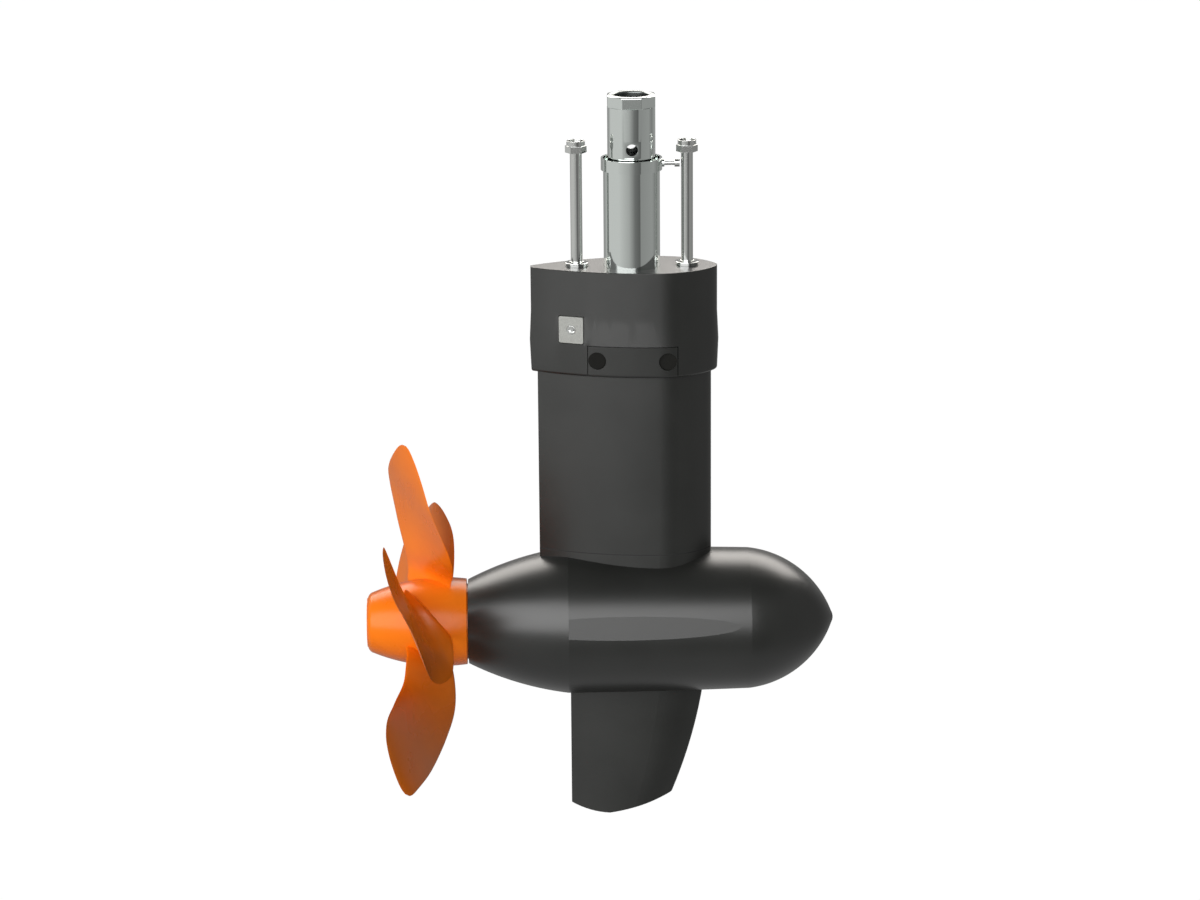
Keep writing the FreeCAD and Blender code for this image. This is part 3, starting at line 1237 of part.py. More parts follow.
def blade_sections():
    """Name, radius, chord, pitch angle, lead ahead, offset to port, thickness of each station."""
    return [(name, *(getattr(s, f"blade_{name}_{size}") for size in blade_sizes)) for name in blade_names]


def blade_outline(chord, thickness):
    """Section with a nearly flat pressure side and a crowned suction side."""
    half = chord / 2
    edge = s.blade_edge
    crown = thickness * 0.8 - edge
    hollow = thickness * 0.2
    return [(-half, -edge / 2, arc_radius(half, hollow), 1), (half, -edge / 2), (half, edge / 2, arc_radius(half, crown), 1),
            (-half, edge / 2)]


def make_propeller():
    body = pod_body("propeller", s.blade_turn)
    recess_front = s.prop_shoulder - s.washer_thickness
    bore = s.prop_seat_radius + s.press_gap * 2
    hub = [
        (s.hub_recess_floor, bore), (recess_front, bore), (recess_front, s.hub_recess_radius),
        (s.hub_front, s.hub_recess_radius), (s.hub_front, s.hub_front_radius, s.hub_arc, 1),
        (s.hub_shoulder, s.hub_shoulder_radius), (s.hub_aft, s.hub_aft_radius),
        (s.hub_aft, s.hub_recess_radius), (s.hub_recess_floor, s.hub_recess_radius),
    ]
    turn_profile(body, "hub_profile", hub)
    reach = s.pin_half + s.fit_gap
    pocket(body, "pin_way", [(s.pin_station, 0, s.pin_radius + s.press_gap)], -reach, reach)
    sketches = []
    for name, radius, chord, angle, ahead, aside, thickness in blade_sections():
        sketch = new_sketch(body, "XY_Plane", f"blade_{name}_section")
        sketch.AttachmentOffset = Placement(Vector(0, 0, 0), Rotation(Vector(0, 0, 1), angle.number - 90))
        bind(sketch, "AttachmentOffset.Rotation.Angle", angle - 90)
        bind(sketch, "AttachmentOffset.Base.x", ahead)
        bind(sketch, "AttachmentOffset.Base.y", aside)
        bind(sketch, "AttachmentOffset.Base.z", radius)
        draw_outline(sketch, blade_outline(chord, thickness))
        sketches.append(sketch)
    blade = body.newObject("PartDesign::AdditiveLoft", "blade")
    blade.Profile = sketches[0]
    blade.Sections = sketches[1:]
    ring_of(body, [blade], blades)
    return body


def make_propeller_fittings():
    pin = pod_body("drive_pin", s.blade_turn)
    pad(pin, "pin_outline", [(s.pin_station, 0, s.pin_radius)], -s.pin_half, s.pin_half)
    washer = pod_ring("thrust_washer", s.prop_shoulder - s.washer_thickness, s.prop_shoulder,
                      s.prop_seat_radius + s.press_gap, s.washer_radius)
    nut = pod_body("prop_nut", s.blade_turn)
    outline = [polygon(s.prop_nut_flats, 6), (0, 0, s.thread_radius + s.press_gap)]
    pad(nut, "prop_nut_outline", outline, s.hub_recess_floor - s.prop_nut_height, s.hub_recess_floor, "YZ_Plane")
    cap = pod_body("prop_cap", s.blade_turn)
    outside = s.hub_aft - s.cap_flange
    rim = s.hub_recess_radius - s.press_gap * 2
    profile = [(outside, 0), (s.hub_aft + s.cap_spigot, 0), (s.hub_aft + s.cap_spigot, rim), (s.hub_aft, rim),
               (s.hub_aft, s.cap_radius), (outside, s.cap_radius)]
    turn_profile(cap, "cap_profile", profile)
    depth = s.cap_radius - 1
    notch = box_corners(-s.notch_half, s.notch_half, depth, s.cap_radius + 1)
    ring_of(cap, [pocket(cap, "cap_notch", [notch], outside - 1, s.hub_aft + 1, "YZ_Plane")], cap_notches)
    return [pin, washer, nut, cap]


parts = {}
for part in [
    make_head_casting(), *make_clamp_covers(), *make_clamp_bolts(), *make_anode(),
    *make_stem(), *make_collar(), *make_studs(), *make_leg(),
    make_motor_housing(), *make_cones(), *make_stator(), *make_rotor(), *make_shaft(),
    *make_bearing("rear", s.rear_bearing_aft, s.rear_bearing_width, s.shaft_radius, s.rear_bearing_radius,
                  s.rear_pitch, s.rear_ball, 9),
    *make_bearing("front", s.front_bearing_aft, s.front_bearing_width, s.front_seat_radius,
                  s.front_bearing_radius, s.front_pitch, s.front_ball, 9),
    make_bracket("rear_bracket", s.rear_bearing_aft, s.rear_bearing_width, s.rear_web_aft, s.rear_bearing_radius,
                 s.bracket_hub, 1, 8, s.lead_circle - 6, 6),
    make_bracket("front_bracket", s.front_bearing_aft, s.front_bearing_width, s.front_web_aft, s.front_bearing_radius,
                 s.front_bracket_hub, -1, s.lead_radius + s.bolt_play, s.lead_circle, 3),
    *make_seals(), *make_electronics(), make_propeller(), *make_propeller_fittings(),
]:
    parts[part.Label] = part

doc.recompute()

faults = []
for thing in doc.Objects:
    if any(word in thing.State for word in ("Invalid", "Error")):
        faults.append(f"{thing.Name} is {thing.State}")
    if thing.TypeId in ("PartDesign::Pocket", "PartDesign::Groove"):
        if not thing.Shape.isNull() and thing.Shape.Volume > thing.BaseFeature.Shape.Volume - 0.5:
            faults.append(f"{thing.Name} removes nothing")
for label, part in parts.items():
    if part.Shape.isNull() or not part.Shape.isValid() or not part.Shape.Solids:
        faults.append(f"{label} has no valid solid")
if faults:
    raise RuntimeError("; ".join(faults))

os.makedirs("parts", exist_ok=True)
for label, part in parts.items():
    part.Shape.exportStep(f"parts/{label}.step")
print(f"{len(parts)} nodes written")
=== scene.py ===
import json
import math

import bpy
from mathutils import Matrix, Vector


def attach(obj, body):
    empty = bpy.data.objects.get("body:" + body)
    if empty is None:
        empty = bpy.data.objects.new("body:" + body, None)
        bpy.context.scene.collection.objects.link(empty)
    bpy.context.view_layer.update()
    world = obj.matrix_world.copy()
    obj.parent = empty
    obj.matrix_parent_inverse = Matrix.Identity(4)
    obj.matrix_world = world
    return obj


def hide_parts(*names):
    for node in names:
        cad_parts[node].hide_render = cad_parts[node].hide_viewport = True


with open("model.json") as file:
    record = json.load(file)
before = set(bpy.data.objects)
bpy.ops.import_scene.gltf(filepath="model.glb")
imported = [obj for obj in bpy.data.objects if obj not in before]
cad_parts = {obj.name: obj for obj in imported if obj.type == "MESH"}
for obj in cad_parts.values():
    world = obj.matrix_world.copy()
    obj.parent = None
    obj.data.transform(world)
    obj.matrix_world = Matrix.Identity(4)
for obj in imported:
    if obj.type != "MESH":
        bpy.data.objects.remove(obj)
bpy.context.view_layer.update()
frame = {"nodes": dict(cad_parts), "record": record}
scene = bpy.context.scene
mm = 0.001
podAxis = Vector((0, 0, -0.375))    # propeller axis under the hull face

# Camera, lamps, floor

cameraSettings = {
    "place": (-0.10297, -3.63824, 0.78526),
    "azimuth": -1.09,     # degrees round from -Y towards +X
    "elevation": 15.05,
    "roll": 0.443,
    "lens": 110.4,
    "sensor": 36.0,
}


def outwardAt(azimuth, elevation):    # from the part towards a camera or lamp, azimuth round from -Y towards +X
    a, e = math.radians(azimuth), math.radians(elevation)
    return Vector((math.sin(a) * math.cos(e), -math.cos(a) * math.cos(e), math.sin(e)))


def cameraTurn(azimuth, elevation, roll):
    a, r = math.radians(azimuth), math.radians(roll)
    back = outwardAt(azimuth, elevation)
    right = Vector((math.cos(a), math.sin(a), 0))
    up = back.cross(right)
    across = right * math.cos(r) - up * math.sin(r)
    above = right * math.sin(r) + up * math.cos(r)
    return Matrix((across, above, back)).transposed().to_4x4()


def makeCamera():
    data = bpy.data.cameras.new("camera")
    data.lens = cameraSettings["lens"]
    data.sensor_width = cameraSettings["sensor"]
    data.clip_end = 100
    camera = bpy.data.objects.new("camera", data)
    scene.collection.objects.link(camera)
    turn = cameraTurn(cameraSettings["azimuth"], cameraSettings["elevation"], cameraSettings["roll"])
    camera.matrix_world = Matrix.Translation(cameraSettings["place"]) @ turn
    scene.camera = camera


lampSettings = {
    # name: azimuth, elevation, distance, width, height, watts, colour, lights matt surfaces
    "frontPanel": (-27, 20, 8.0, 12.3, 6.6, 980, "#ffffff", True),
    "backPanel": (180, 47, 1.6, 3.2, 1.0, 60, "#fffaf4", False),
}
lampTarget = Vector((0, 0, -0.3))


def hexColour(text):
    channels = [int(text[place:place + 2], 16) / 255 for place in (1, 3, 5)]
    linear = [c / 12.92 if c <= 0.04045 else ((c + 0.055) / 1.055) ** 2.4 for c in channels]
    return (*linear, 1.0)


def makeLamps():
    for name, settings in lampSettings.items():
        azimuth, elevation, distance, width, height, watts, colour, matt = settings
        outward = outwardAt(azimuth, elevation)
        data = bpy.data.lights.new(name, "AREA")
        data.shape = "RECTANGLE"
        data.size, data.size_y = width, height
        data.energy = watts
        data.color = hexColour(colour)[:3]
        lamp = bpy.data.objects.new(name, data)
        scene.collection.objects.link(lamp)
        lamp.location = lampTarget + outward * distance
        lamp.rotation_mode = "QUATERNION"
        lamp.rotation_quaternion = outward.to_track_quat("Z", "Y")
        lamp.visible_camera = False
        lamp.visible_diffuse = matt


def addNode(tree, kind, links=None, **settings):    # a node with its settings and its links
    node = tree.nodes.new(kind)
    for key, value in settings.items():
        if hasattr(node, key):
            setattr(node, key, value)
        else:
            node.inputs[key.replace("_", " ")].default_value = value
    for key, socket in (links or {}).items():
        tree.links.new(socket, node.inputs[key])
    return node


worldSettings = {
    "fill": 0.13,         # how strongly it lights matt surfaces
    "backdrop": "#ffffff",
    # what polished metal sees of the studio, going round from behind: azimuth and grey
    "round": [(-180, 0.32), (-140, 0.34), (-118, 0.62), (-55, 0.62), (-12, 0.43), (12, 0.18), (33.5, 0.12),
              (34.5, 0.29), (90, 0.34), (112, 0.23), (140, 0.34), (180, 0.32)],
    "blue": 0.985,        # the walls' blue as a share of their grey
    # grey, and from what height to what height of the view the walls blend into it
    "overhead": (0.12, 0.55, 0.8),        # the dark ceiling
    "underfoot": (0.5, -0.45, -0.75),     # the white paper on the floor
}


def studioColour(tree):
    place = addNode(tree, "ShaderNodeTexCoord")
    way = addNode(tree, "ShaderNodeSeparateXYZ", {0: place.outputs["Generated"]})
    ahead = addNode(tree, "ShaderNodeMath", {0: way.outputs["Y"]}, operation="MULTIPLY")
    ahead.inputs[1].default_value = -1
    azimuth = addNode(tree, "ShaderNodeMath", {0: way.outputs["X"], 1: ahead.outputs[0]},
                      operation="ARCTAN2")
    share = addNode(tree, "ShaderNodeMapRange", {"Value": azimuth.outputs[0]},
                    From_Min=-math.pi, From_Max=math.pi)
    walls = addNode(tree, "ShaderNodeValToRGB", {"Fac": share.outputs[0]})
    stops = walls.color_ramp.elements
    while len(stops) < len(worldSettings["round"]):
        stops.new(0.5)
    for stop, (angle, grey) in zip(stops, worldSettings["round"]):
        stop.position = (angle + 180) / 360
        stop.color = (grey, grey, grey * worldSettings["blue"], 1)
    colour = walls.outputs[0]
    for grey, start, stop in (worldSettings["overhead"], worldSettings["underfoot"]):
        blend = addNode(tree, "ShaderNodeMapRange", {"Value": way.outputs["Z"]}, From_Min=start, From_Max=stop)
        colour = addNode(tree, "ShaderNodeMixRGB", {"Fac": blend.outputs[0], "Color1": colour},
                         Color2=(grey, grey, grey, 1)).outputs[0]
    return colour


def eitherRay(tree, path, first, second):
    return addNode(tree, "ShaderNodeMath", {0: path.outputs[first], 1: path.outputs[second]},
                   operation="MAXIMUM").outputs[0]


def makeWorld():
    world = bpy.data.worlds.new("studio")
    scene.world = world
    world.use_nodes = True
    tree = world.node_tree
    tree.nodes.clear()
    white = hexColour(worldSettings["backdrop"])
    path = addNode(tree, "ShaderNodeLightPath")
    backdrop = addNode(tree, "ShaderNodeBackground", Strength=1.0, Color=white)
    studio = addNode(tree, "ShaderNodeBackground", {"Color": studioColour(tree)}, Strength=1.0)
    fill = addNode(tree, "ShaderNodeBackground", Strength=worldSettings["fill"], Color=white)
    seen = eitherRay(tree, path, "Is Camera Ray", "Is Transmission Ray")
    reflected = addNode(tree, "ShaderNodeMixShader",
                        {0: path.outputs["Is Glossy Ray"], 1: fill.outputs[0], 2: studio.outputs[0]})
    mixed = addNode(tree, "ShaderNodeMixShader", {0: seen, 1: reflected.outputs[0], 2: backdrop.outputs[0]})
    addNode(tree, "ShaderNodeOutputWorld", {"Surface": mixed.outputs[0]})


floorSettings = {
    "height": -1.25,
    "size": 60.0,
    "colour": "#666664",
    "shadowShare": 0.1,
    "white": 1.12,
}


def makeFloor():
    bpy.ops.object.select_all(action="DESELECT")
    bpy.ops.mesh.primitive_plane_add(size=floorSettings["size"], location=(0, 0, floorSettings["height"]))
    floor = bpy.context.object
    floor.name = "floor"
    material = bpy.data.materials.new("palePaper")
    material.use_nodes = True
    tree = material.node_tree
    tree.nodes.clear()
    path = addNode(tree, "ShaderNodeLightPath")
    paper = addNode(tree, "ShaderNodeBsdfDiffuse", Color=hexColour(floorSettings["colour"]))
    white = addNode(tree, "ShaderNodeEmission", Strength=floorSettings["white"])
    lit = addNode(tree, "ShaderNodeMixShader", {1: white.outputs[0], 2: paper.outputs[0]},
                  Fac=floorSettings["shadowShare"])
    seen = eitherRay(tree, path, "Is Camera Ray", "Is Glossy Ray")
    mixed = addNode(tree, "ShaderNodeMixShader", {0: seen, 1: paper.outputs[0], 2: lit.outputs[0]})
    addNode(tree, "ShaderNodeOutputMaterial", {"Surface": mixed.outputs[0]})
    floor.data.materials.append(material)
    floor.visible_glossy = False    # metal sees the studio drawn in the world


makeCamera()
makeLamps()
makeWorld()
makeFloor()
scene.view_settings.view_transform = "Standard"
print("camera, lamps and floor are up")

# Materials


def newMaterial(name, **inputs):
    material = bpy.data.materials.new(name)
    material.use_nodes = True
    tree = material.node_tree
    tree.nodes.clear()
    shader = addNode(tree, "ShaderNodeBsdfPrincipled", **inputs)
    addNode(tree, "ShaderNodeOutputMaterial", {"Surface": shader.outputs[0]})
    return material, tree, shader


def objectNoise(tree, size, detail, stretch=(1, 1, 1)):    # noise whose grain is size across, in metres
    place = addNode(tree, "ShaderNodeTexCoord")
    mapping = addNode(tree, "ShaderNodeMapping", {"Vector": place.outputs["Object"]}, Scale=stretch)
    noise = addNode(tree, "ShaderNodeTexNoise", {"Vector": mapping.outputs[0]}, Scale=1 / size, Detail=detail)
    return noise.outputs[0]


def dye(tree, shader, factor, low, high):    # base colour between two tones, steeper in the middle
    ramp = addNode(tree, "ShaderNodeValToRGB", {"Fac": factor})
    for stop, place, colour in zip(ramp.color_ramp.elements, (0.3, 0.7), (low, high)):
        stop.position = place
        stop.color = hexColour(colour)
    tree.links.new(ramp.outputs[0], shader.inputs["Base Color"])


def spread(tree, factor, low, high):    # a factor turned into values from low to high
    return addNode(tree, "ShaderNodeMapRange", {"Value": factor}, To_Min=low, To_Max=high).outputs[0]


def roughen(tree, shader, factor, low, high):
    tree.links.new(spread(tree, factor, low, high), shader.inputs["Roughness"])


def bump(tree, shader, height, distance, strength):
    node = addNode(tree, "ShaderNodeBump", {"Height": height}, Distance=distance, Strength=strength)
    tree.links.new(node.outputs[0], shader.inputs["Normal"])


def epoxyOnCastAluminium():    # sprayed satin epoxy: slight orange peel and a soft sheen
    material, tree, shader = newMaterial("satinEpoxyOnCastAluminium", IOR=1.6)
    cloud = objectNoise(tree, 0.06, 4.0)
    dye(tree, shader, cloud, "#191a18", "#1f201e")
    roughen(tree, shader, cloud, 0.3, 0.36)
    peel = objectNoise(tree, 1.4 * mm, 2.0)    # orange peel is about 1 mm across
    bump(tree, shader, peel, 0.012 * mm, 0.6)
    return material


def orangeComposite():    # moulded fibre-filled nylon, dyed through: smooth, soft gloss
    material, tree, shader = newMaterial("dyedNylonComposite", IOR=1.33)
    cloud = objectNoise(tree, 0.05, 4.0)
    dye(tree, shader, cloud, "#f4780e", "#fa8013")
    roughen(tree, shader, cloud, 0.24, 0.32)
    grain = objectNoise(tree, 0.9 * mm, 2.0)
    bump(tree, shader, grain, 0.01 * mm, 0.5)
    return material


boreFinishAndShade = {
    # distances in mm from the stem's axis between which the drawn bore, rougher and darkened by painted shade,
    # gives way to the polished outside
    "inner": 21.8,
    "outer": 22.4,
    "roughness": 0.3,
    # the bore's colour is painted shade, darker than the steel itself; its roughness is the drawn bore's own
    "colour": "#7d8280",
}


def polishedStainless():    # tube polished to a mirror, with the faintest waviness left by the belt, and painted shade darkening its rough bore
    material, tree, shader = newMaterial("mirrorPolishedStainless", Metallic=1.0)
    wear = objectNoise(tree, 0.012, 3.0)
    place = addNode(tree, "ShaderNodeTexCoord")
    across = addNode(tree, "ShaderNodeVectorMath", {0: place.outputs["Object"]}, operation="MULTIPLY")
    across.inputs[1].default_value = (1, 1, 0)
    fromAxis = addNode(tree, "ShaderNodeVectorMath", {0: across.outputs[0]}, operation="LENGTH")
    edge = {"From_Min": boreFinishAndShade["inner"] * mm, "From_Max": boreFinishAndShade["outer"] * mm}
    roughness = addNode(tree, "ShaderNodeMapRange",
                        {"Value": fromAxis.outputs["Value"], "To Max": spread(tree, wear, 0.045, 0.085)},
                        To_Min=boreFinishAndShade["roughness"], **edge)
    tree.links.new(roughness.outputs[0], shader.inputs["Roughness"])
    outside = addNode(tree, "ShaderNodeMapRange", {"Value": fromAxis.outputs["Value"]}, **edge)
    # inside the bore the base colour is darkened with painted shade
    colour = addNode(tree, "ShaderNodeMixRGB", {"Fac": outside.outputs[0]},
                     Color1=hexColour(boreFinishAndShade["colour"]), Color2=hexColour("#e4eae7"))
    tree.links.new(colour.outputs[0], shader.inputs["Base Color"])
    belt = objectNoise(tree, 3.0 * mm, 2.0, (1, 1, 0.12))
    bump(tree, shader, belt, 0.002 * mm, 0.4)
    return material


def turnedStainless():    # bright bar stock off the lathe
    material, tree, shader = newMaterial("turnedStainless", Metallic=1.0, Base_Color=hexColour("#dadcda"))
    wear = objectNoise(tree, 2.0 * mm, 3.0)
    roughen(tree, shader, wear, 0.07, 0.12)
    bump(tree, shader, wear, 0.003 * mm, 0.4)
    return material


def castZinc():    # bare anode metal, lightly faced: pale grey with a fine grain
    material, tree, shader = newMaterial("castZinc", Metallic=0.35)
    grain = objectNoise(tree, 1.2 * mm, 4.0)
    dye(tree, shader, grain, "#8f908c", "#a4a5a0")
    roughen(tree, shader, grain, 0.42, 0.58)
    bump(tree, shader, grain, 0.02 * mm, 0.5)
    return material


plainFinishes = {
    # slot: name, colours, metallic, roughness, grain in mm, refraction
    "black_plug": ("mouldedPolyethylene", "#10100e", "#191916", 0.0, 0.55, 0.8, 1.22),
    "seal_rubber": ("nitrileRubber", "#121212", "#1b1b1b", 0.0, 0.7, 0.6, 1.5),
    "bush_bronze": ("turnedBronze", "#8c6a35", "#a37d42", 1.0, 0.3, 1.0, 1.5),
    "shaft_steel": ("groundSteel", "#9c9d9d", "#adaeae", 1.0, 0.22, 0.8, 1.5),
    "bearing_steel": ("lappedBearingSteel", "#a3a4a5", "#b4b5b6", 1.0, 0.12, 0.8, 1.5),
    "bare_aluminium": ("machinedAluminium", "#a9abad", "#bcbec0", 1.0, 0.34, 1.2, 1.5),
    "core_steel": ("laminatedSiliconSteel", "#4c4d50", "#626367", 1.0, 0.45, 0.5, 1.5),
    "copper": ("enamelledCopperWire", "#8a4a22", "#a85f2e", 0.8, 0.3, 0.9, 1.5),
    "magnet_nickel": ("nickelPlatedMagnet", "#8f908e", "#a3a4a1", 1.0, 0.2, 1.5, 1.5),
    "board_green": ("solderMaskedLaminate", "#0d3d22", "#12502d", 0.0, 0.35, 2.0, 1.5),
    "component_black": ("mouldedEpoxy", "#141416", "#1f1f22", 0.0, 0.45, 1.5, 1.5),
}


def plainFinish(name, dark, light, metallic, roughness, grainSize, refraction):    # colour, grain and sheen
    material, tree, shader = newMaterial(name, Metallic=metallic, IOR=refraction)
    grain = objectNoise(tree, grainSize * mm, 3.0)
    dye(tree, shader, grain, dark, light)
    roughen(tree, shader, grain, roughness * 0.85, roughness * 1.15)
    bump(tree, shader, grain, 0.01 * mm, 0.4)
    return material


def makeFinishes():
    made = {
        "cast_coating": epoxyOnCastAluminium(),
        "propeller_orange": orangeComposite(),
        "polished_stainless": polishedStainless(),
        "stainless_fastener": turnedStainless(),
        "anode_zinc": castZinc(),
    }
    for slot, settings in plainFinishes.items():
        made[slot] = plainFinish(*settings)
    return made


finishes = makeFinishes()
slots = {entry["node"]: entry["material_slot"] for entry in frame["record"]["subparts"]}
for nodeName, slotName in slots.items():
    nodeMaterials = frame["nodes"][nodeName].data.materials
    nodeMaterials.clear()
    nodeMaterials.append(finishes[slotName])
print("materials are made")

# Ways of working on a piece

mergeDistance = 0.004 * mm


def pickOnly(piece):
    bpy.ops.object.select_all(action="DESELECT")
    piece.select_set(True)
    bpy.context.view_layer.objects.active = piece


def closeMesh(piece):    # doubles merged, every face pointing outwards
    pickOnly(piece)
    bpy.ops.object.mode_set(mode="EDIT")
    bpy.ops.mesh.select_all(action="SELECT")
    bpy.ops.mesh.remove_doubles(threshold=mergeDistance)
    bpy.ops.mesh.normals_make_consistent(inside=False)
    bpy.ops.object.mode_set(mode="OBJECT")


def withModifier(piece, kind, **settings):
    pickOnly(piece)
    modifier = piece.modifiers.new(kind.lower(), kind)
    for key, value in settings.items():
        setattr(modifier, key, value)
    bpy.ops.object.modifier_apply(modifier=modifier.name)


def smoothFaces(piece, sharpest=38):    # broad faces keep their own normals, small ones blend
    pickOnly(piece)
    bpy.ops.object.shade_smooth_by_angle(angle=math.radians(sharpest))
    withModifier(piece, "WEIGHTED_NORMAL", mode="FACE_AREA", weight=50, keep_sharp=True)


def roundEdges(piece, width, segments, sharpest=32):    # the radius left by casting, turning or polishing
    withModifier(piece, "BEVEL", width=width * mm, segments=segments, limit_method="ANGLE",
                 angle_limit=math.radians(sharpest), use_clamp_overlap=True)
    smoothFaces(piece)


def dress(piece, slot, body, replaced):
    piece.data.materials.clear()
    piece.data.materials.append(finishes[slot])
    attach(piece, body)
    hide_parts(replaced)


def turnedOnPod(name, points, steps):    # a profile of (along the pod, radius) in mm, spun about the pod's axis
    bpy.ops.object.select_all(action="DESELECT")
    bpy.ops.mesh.primitive_plane_add(size=mm, location=(0, 0, 0))
    piece = bpy.context.object
    piece.name = name
    bpy.ops.object.mode_set(mode="EDIT")
    bpy.ops.mesh.select_all(action="SELECT")
    bpy.ops.mesh.merge(type="CENTER")
    bpy.ops.mesh.select_mode(type="VERT")
    bpy.ops.mesh.select_all(action="SELECT")
    here = Vector((0, 0, 0))
    for place, (station, radius) in enumerate(points):
        there = podAxis + Vector((station, 0, radius)) * mm
        if place == 0:
            bpy.ops.transform.translate(value=there - here)
        else:
            bpy.ops.mesh.extrude_region_move(TRANSFORM_OT_translate={"value": there - here})
        here = there
    bpy.ops.mesh.select_all(action="SELECT")
    bpy.ops.mesh.spin(steps=steps, angle=math.tau, center=podAxis, axis=(1, 0, 0))
    bpy.ops.object.mode_set(mode="OBJECT")
    closeMesh(piece)
    return piece


# Castings, tubes and hardware with their small edge radii

edgeRadii = {
    # CAD node: (piece, edge radius in mm, segments)
    "head_casting": ("headCasting", 0.7, 3),
    "clamp_cover_starboard": ("clampCoverStarboard", 0.5, 2),
    "clamp_cover_port": ("clampCoverPort", 0.5, 2),
    "leg": ("strutLeg", 0.5, 2),
    "stem_tube": ("stemTube", 0.4, 2),
    "stem_collar": ("stemCollar", 0.5, 3),
    "cable_conduit": ("innerTube", 0.3, 2),
    "conduit_nut": ("octagonNut", 0.6, 3),
    "lock_screw": ("lockScrew", 0.3, 2),
    "stud_nuts": ("studNuts", 0.5, 3),
    "stud_washers": ("studWashers", 0.5, 3),
    "hull_studs": ("hullStuds", 0.4, 2),
    "anode": ("anodeBlock", 0.5, 3),
    "anode_screw": ("anodeScrew", 0.25, 2),
    "bolt_plugs": ("boltPlugs", 0.4, 2),
    "prop_cap": ("propellerCap", 0.3, 2),
}
flatWithin = 0.4    # degrees between faces that count as one


def roundedCopies():
    bodies = frame["record"]["behaviour"]["bodies"]
    riders = {node: body for body, nodes in bodies.items() for node in nodes}
    for node, (name, radius, segments) in edgeRadii.items():
        source = frame["nodes"][node]
        piece = bpy.data.objects.new(name, source.data.copy())
        scene.collection.objects.link(piece)
        closeMesh(piece)
        bpy.ops.object.mode_set(mode="EDIT")
        bpy.ops.mesh.select_all(action="SELECT")
        bpy.ops.mesh.dissolve_limited(angle_limit=math.radians(flatWithin))
        bpy.ops.object.mode_set(mode="OBJECT")
        roundEdges(piece, radius, segments)
        dress(piece, slots[node], riders[node], node)


socketSettings = {"radius": 2.3, "depth": 4.4}    # of the tool that cuts it, half of which is in the head


def cutSocket():    # hex socket in the anode's screw
    screw = bpy.data.objects["anodeScrew"]
    corners = [screw.matrix_world @ Vector(corner) for corner in screw.bound_box]
    middle = sum(corners, Vector()) / 8
    outer = min(corner.y for corner in corners)
    bpy.ops.object.select_all(action="DESELECT")
    bpy.ops.mesh.primitive_cylinder_add(
        vertices=6, radius=socketSettings["radius"] * mm, depth=socketSettings["depth"] * mm,
        rotation=(math.radians(90), 0, 0), location=(middle.x, outer, middle.z))
    key = bpy.context.object
    withModifier(screw, "BOOLEAN", operation="DIFFERENCE", object=key, solver="EXACT")
    bpy.data.objects.remove(key)
    closeMesh(screw)
    smoothFaces(screw)


roundedCopies()
cutSocket()
print("castings and hardware have their edge radii")

# Propeller

propellerSettings = {
    "blades": 5,
    "turn": -0.7,         # first blade from the top towards starboard, degrees
    # points of the hub's outline: along the pod and radius
    "front": (-172.8, 44.4),
    "lip": (-171.6, 39.0),    # runs close to the rear cone, so no light comes through
    "shoulder": (-269.2, 31.7),
    "aft": (-274.9, 26.3),
    "capSeat": (-273.3, 25.8),
    "recess": (-250.0, 22.0),
    "seat": (-178.0, 10.04),
    "sideRadius": 187.0,    # of the curve from front to shoulder
    "sideSteps": 40,
    "rimRadius": 8.0,       # of the curve from shoulder to aft
    "rimSteps": 8,
    "turnSteps": 160,
    # blade sections: radius, chord, pitch angle, ahead, aside, thickness
    "sections": [
        (36.0, 52.0, 46.5, -213.2, 6.6, 10.8), (50.0, 71.5, 40.8, -210.8, 5.0, 10.0),
        (75.0, 94.5, 32.8, -212.0, -12.4, 8.6), (105.0, 125.5, 23.8, -220.8, -6.4, 7.2),
        (130.0, 142.3, 19.2, -229.0, 5.0, 6.2), (145.0, 125.0, 19.9, -232.4, 8.0, 5.6),
        (158.0, 94.0, 22.2, -233.8, 7.6, 5.0), (168.0, 67.0, 24.6, -234.3, 7.2, 4.5),
        (176.0, 45.5, 26.8, -234.5, 6.6, 4.0), (182.0, 29.5, 28.5, -234.5, 5.8, 3.2),
        (185.6, 18.0, 29.6, -234.4, 5.0, 2.5), (187.4, 8.5, 30.2, -234.3, 4.6, 1.6),
    ],
    "rootSpread": 5.5,      # how far the root's fillet spreads at the hub
    "rootRadius": 42.0,     # where it begins to fade
    "rootDecay": 3.2,
    "suctionSide": 0.8,     # its share of the section's thickness
    "pressureSide": 0.25,   # its height as a share of the suction side's
    "stations": 46,
    "crowding": 1.35,       # above 1 they stand closer together at the tip
    "points": 40,
    "sharpest": 50,
}


def arcBetween(start, end, radius, count):    # points of an arc bulging outwards, seen along the pod
    (x0, r0), (x1, r1) = start, end
    half = math.hypot(x1 - x0, r1 - r0) / 2
    normal = Vector((r0 - r1, x1 - x0)).normalized()
    if normal.y < 0:
        normal = -normal
    centre = Vector(((x0 + x1) / 2, (r0 + r1) / 2)) - normal * math.sqrt(radius ** 2 - half ** 2)
    first = math.atan2(r0 - centre.y, x0 - centre.x)
    last = math.atan2(r1 - centre.y, x1 - centre.x)
    angles = [first + (last - first) * step / count for step in range(count + 1)]
    return [(centre.x + radius * math.cos(angle), centre.y + radius * math.sin(angle)) for angle in angles]


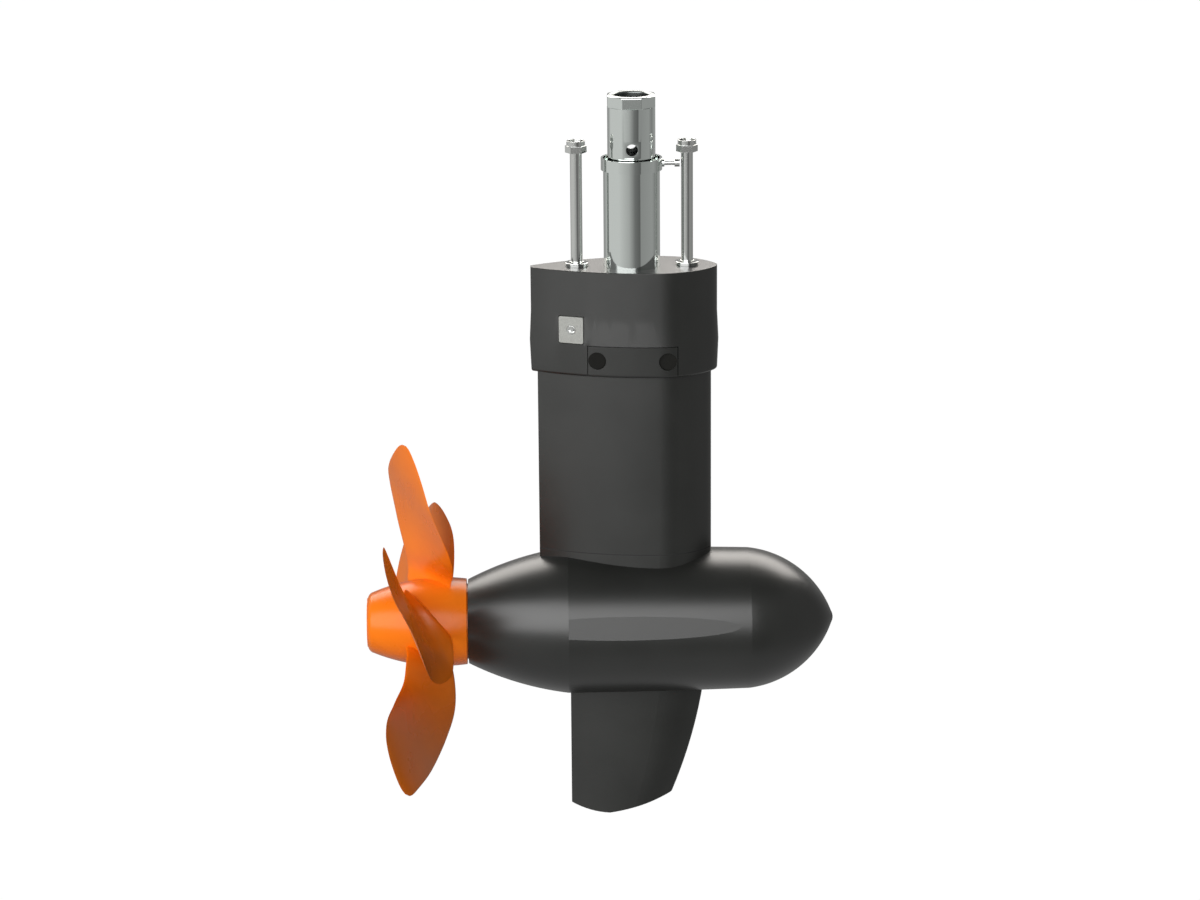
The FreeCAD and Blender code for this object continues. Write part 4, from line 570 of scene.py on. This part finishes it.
def sectionAt(radius):    # the blade's section between the listed ones, on a smooth curve
    table = propellerSettings["sections"]
    place = max(index for index in range(len(table) - 1) if table[index][0] <= radius)
    before, low, high = table[max(place - 1, 0)], table[place], table[place + 1]
    after = table[min(place + 2, len(table) - 1)]
    span = high[0] - low[0]
    t = (radius - low[0]) / span
    values = []
    for column in range(1, 6):
        slopeLow = (high[column] - before[column]) / (high[0] - before[0]) * span
        slopeHigh = (after[column] - low[column]) / (after[0] - low[0]) * span
        values.append((2 * t ** 3 - 3 * t ** 2 + 1) * low[column] + (t ** 3 - 2 * t ** 2 + t) * slopeLow
                      + (3 * t ** 2 - 2 * t ** 3) * high[column] + (t ** 3 - t ** 2) * slopeHigh)
    past = max(radius - propellerSettings["rootRadius"], 0)
    fillet = propellerSettings["rootSpread"] * math.exp(-past / propellerSettings["rootDecay"])
    chord, angle, ahead, aside, thickness = values
    return chord + fillet, angle, ahead, aside, thickness + fillet * 2


def turnAbout(angle, axis, centre):    # with no window the operator turns the other way
    bpy.ops.transform.rotate(value=-math.radians(angle), orient_axis=axis, orient_type="GLOBAL",
                             center_override=centre)


def turnOnPod(piece, angle):
    pickOnly(piece)
    bpy.ops.object.mode_set(mode="EDIT")
    bpy.ops.mesh.select_all(action="SELECT")
    turnAbout(angle, "X", podAxis)
    bpy.ops.object.mode_set(mode="OBJECT")


def drawSection(settings):    # a closed outline with a chord and a thickness of 1 mm
    bpy.ops.object.select_all(action="DESELECT")
    bpy.ops.mesh.primitive_circle_add(vertices=settings["points"], radius=1, fill_type="NGON",
                                      location=(0, 0, 0))
    blade = bpy.context.object
    blade.name = "blade"
    bpy.ops.object.mode_set(mode="EDIT")
    bpy.ops.mesh.select_all(action="SELECT")
    bpy.ops.transform.resize(value=(0.5 * mm, settings["suctionSide"] * mm, 1), center_override=(0, 0, 0))
    bpy.ops.object.mode_set(mode="OBJECT")
    for vertex in blade.data.vertices:    # the pressure side is nearly flat
        vertex.select = vertex.co.y < -1e-7
    bpy.ops.object.mode_set(mode="EDIT")
    bpy.ops.mesh.select_mode(type="VERT")
    bpy.ops.transform.resize(value=(1, settings["pressureSide"], 1), center_override=(0, 0, 0))
    return blade


def makeBlade(settings):
    first, last = settings["sections"][0][0], settings["sections"][-1][0]
    blade = drawSection(settings)
    bpy.ops.mesh.select_all(action="SELECT")
    size, angle, centre = (1.0, 1.0), 0.0, Vector((0, 0, 0))
    for step in range(settings["stations"] + 1):
        share = step / settings["stations"]
        radius = first + (last - first) * (1 - (1 - share) ** settings["crowding"])
        chord, pitch, ahead, aside, thickness = sectionAt(min(radius, last))
        if step:
            bpy.ops.mesh.extrude_region_move(TRANSFORM_OT_translate={"value": (0, 0, 0)})
            turnAbout(90 - angle, "Z", centre)
        bpy.ops.transform.resize(value=(chord / size[0], thickness / size[1], 1), center_override=centre)
        turnAbout(pitch - 90, "Z", centre)
        there = podAxis + Vector((ahead, aside, radius)) * mm
        bpy.ops.transform.translate(value=there - centre)
        size, angle, centre = (chord, thickness), pitch, there
    bpy.ops.object.mode_set(mode="OBJECT")
    closeMesh(blade)
    return blade


def hubOutline(settings):
    front, lip, shoulder, aft = (settings[name] for name in ("front", "lip", "shoulder", "aft"))
    capSeat, recess, seat = (settings[name] for name in ("capSeat", "recess", "seat"))
    outside = arcBetween(front, shoulder, settings["sideRadius"], settings["sideSteps"])
    rim = arcBetween(shoulder, aft, settings["rimRadius"], settings["rimSteps"])
    inside = [(aft[0], capSeat[1]), capSeat, (capSeat[0], recess[1]), recess, (recess[0], seat[1]), seat,
              (seat[0], recess[1]), (lip[0], recess[1]), lip, (front[0], lip[1])]
    return outside + rim + inside + outside[:1]


def makePropeller(settings):
    hub = turnedOnPod("propeller", hubOutline(settings), settings["turnSteps"])
    blade = makeBlade(settings)
    for number in range(settings["blades"]):
        turnOnPod(blade, 360 / settings["blades"] if number else settings["turn"])
        withModifier(hub, "BOOLEAN", operation="UNION", object=blade, solver="EXACT")
    bpy.data.objects.remove(blade)
    closeMesh(hub)
    bpy.ops.object.shade_smooth_by_angle(angle=math.radians(settings["sharpest"]))
    dress(hub, "propeller_orange", "propeller_shaft", "propeller")


makePropeller(propellerSettings)
print("propeller is made")
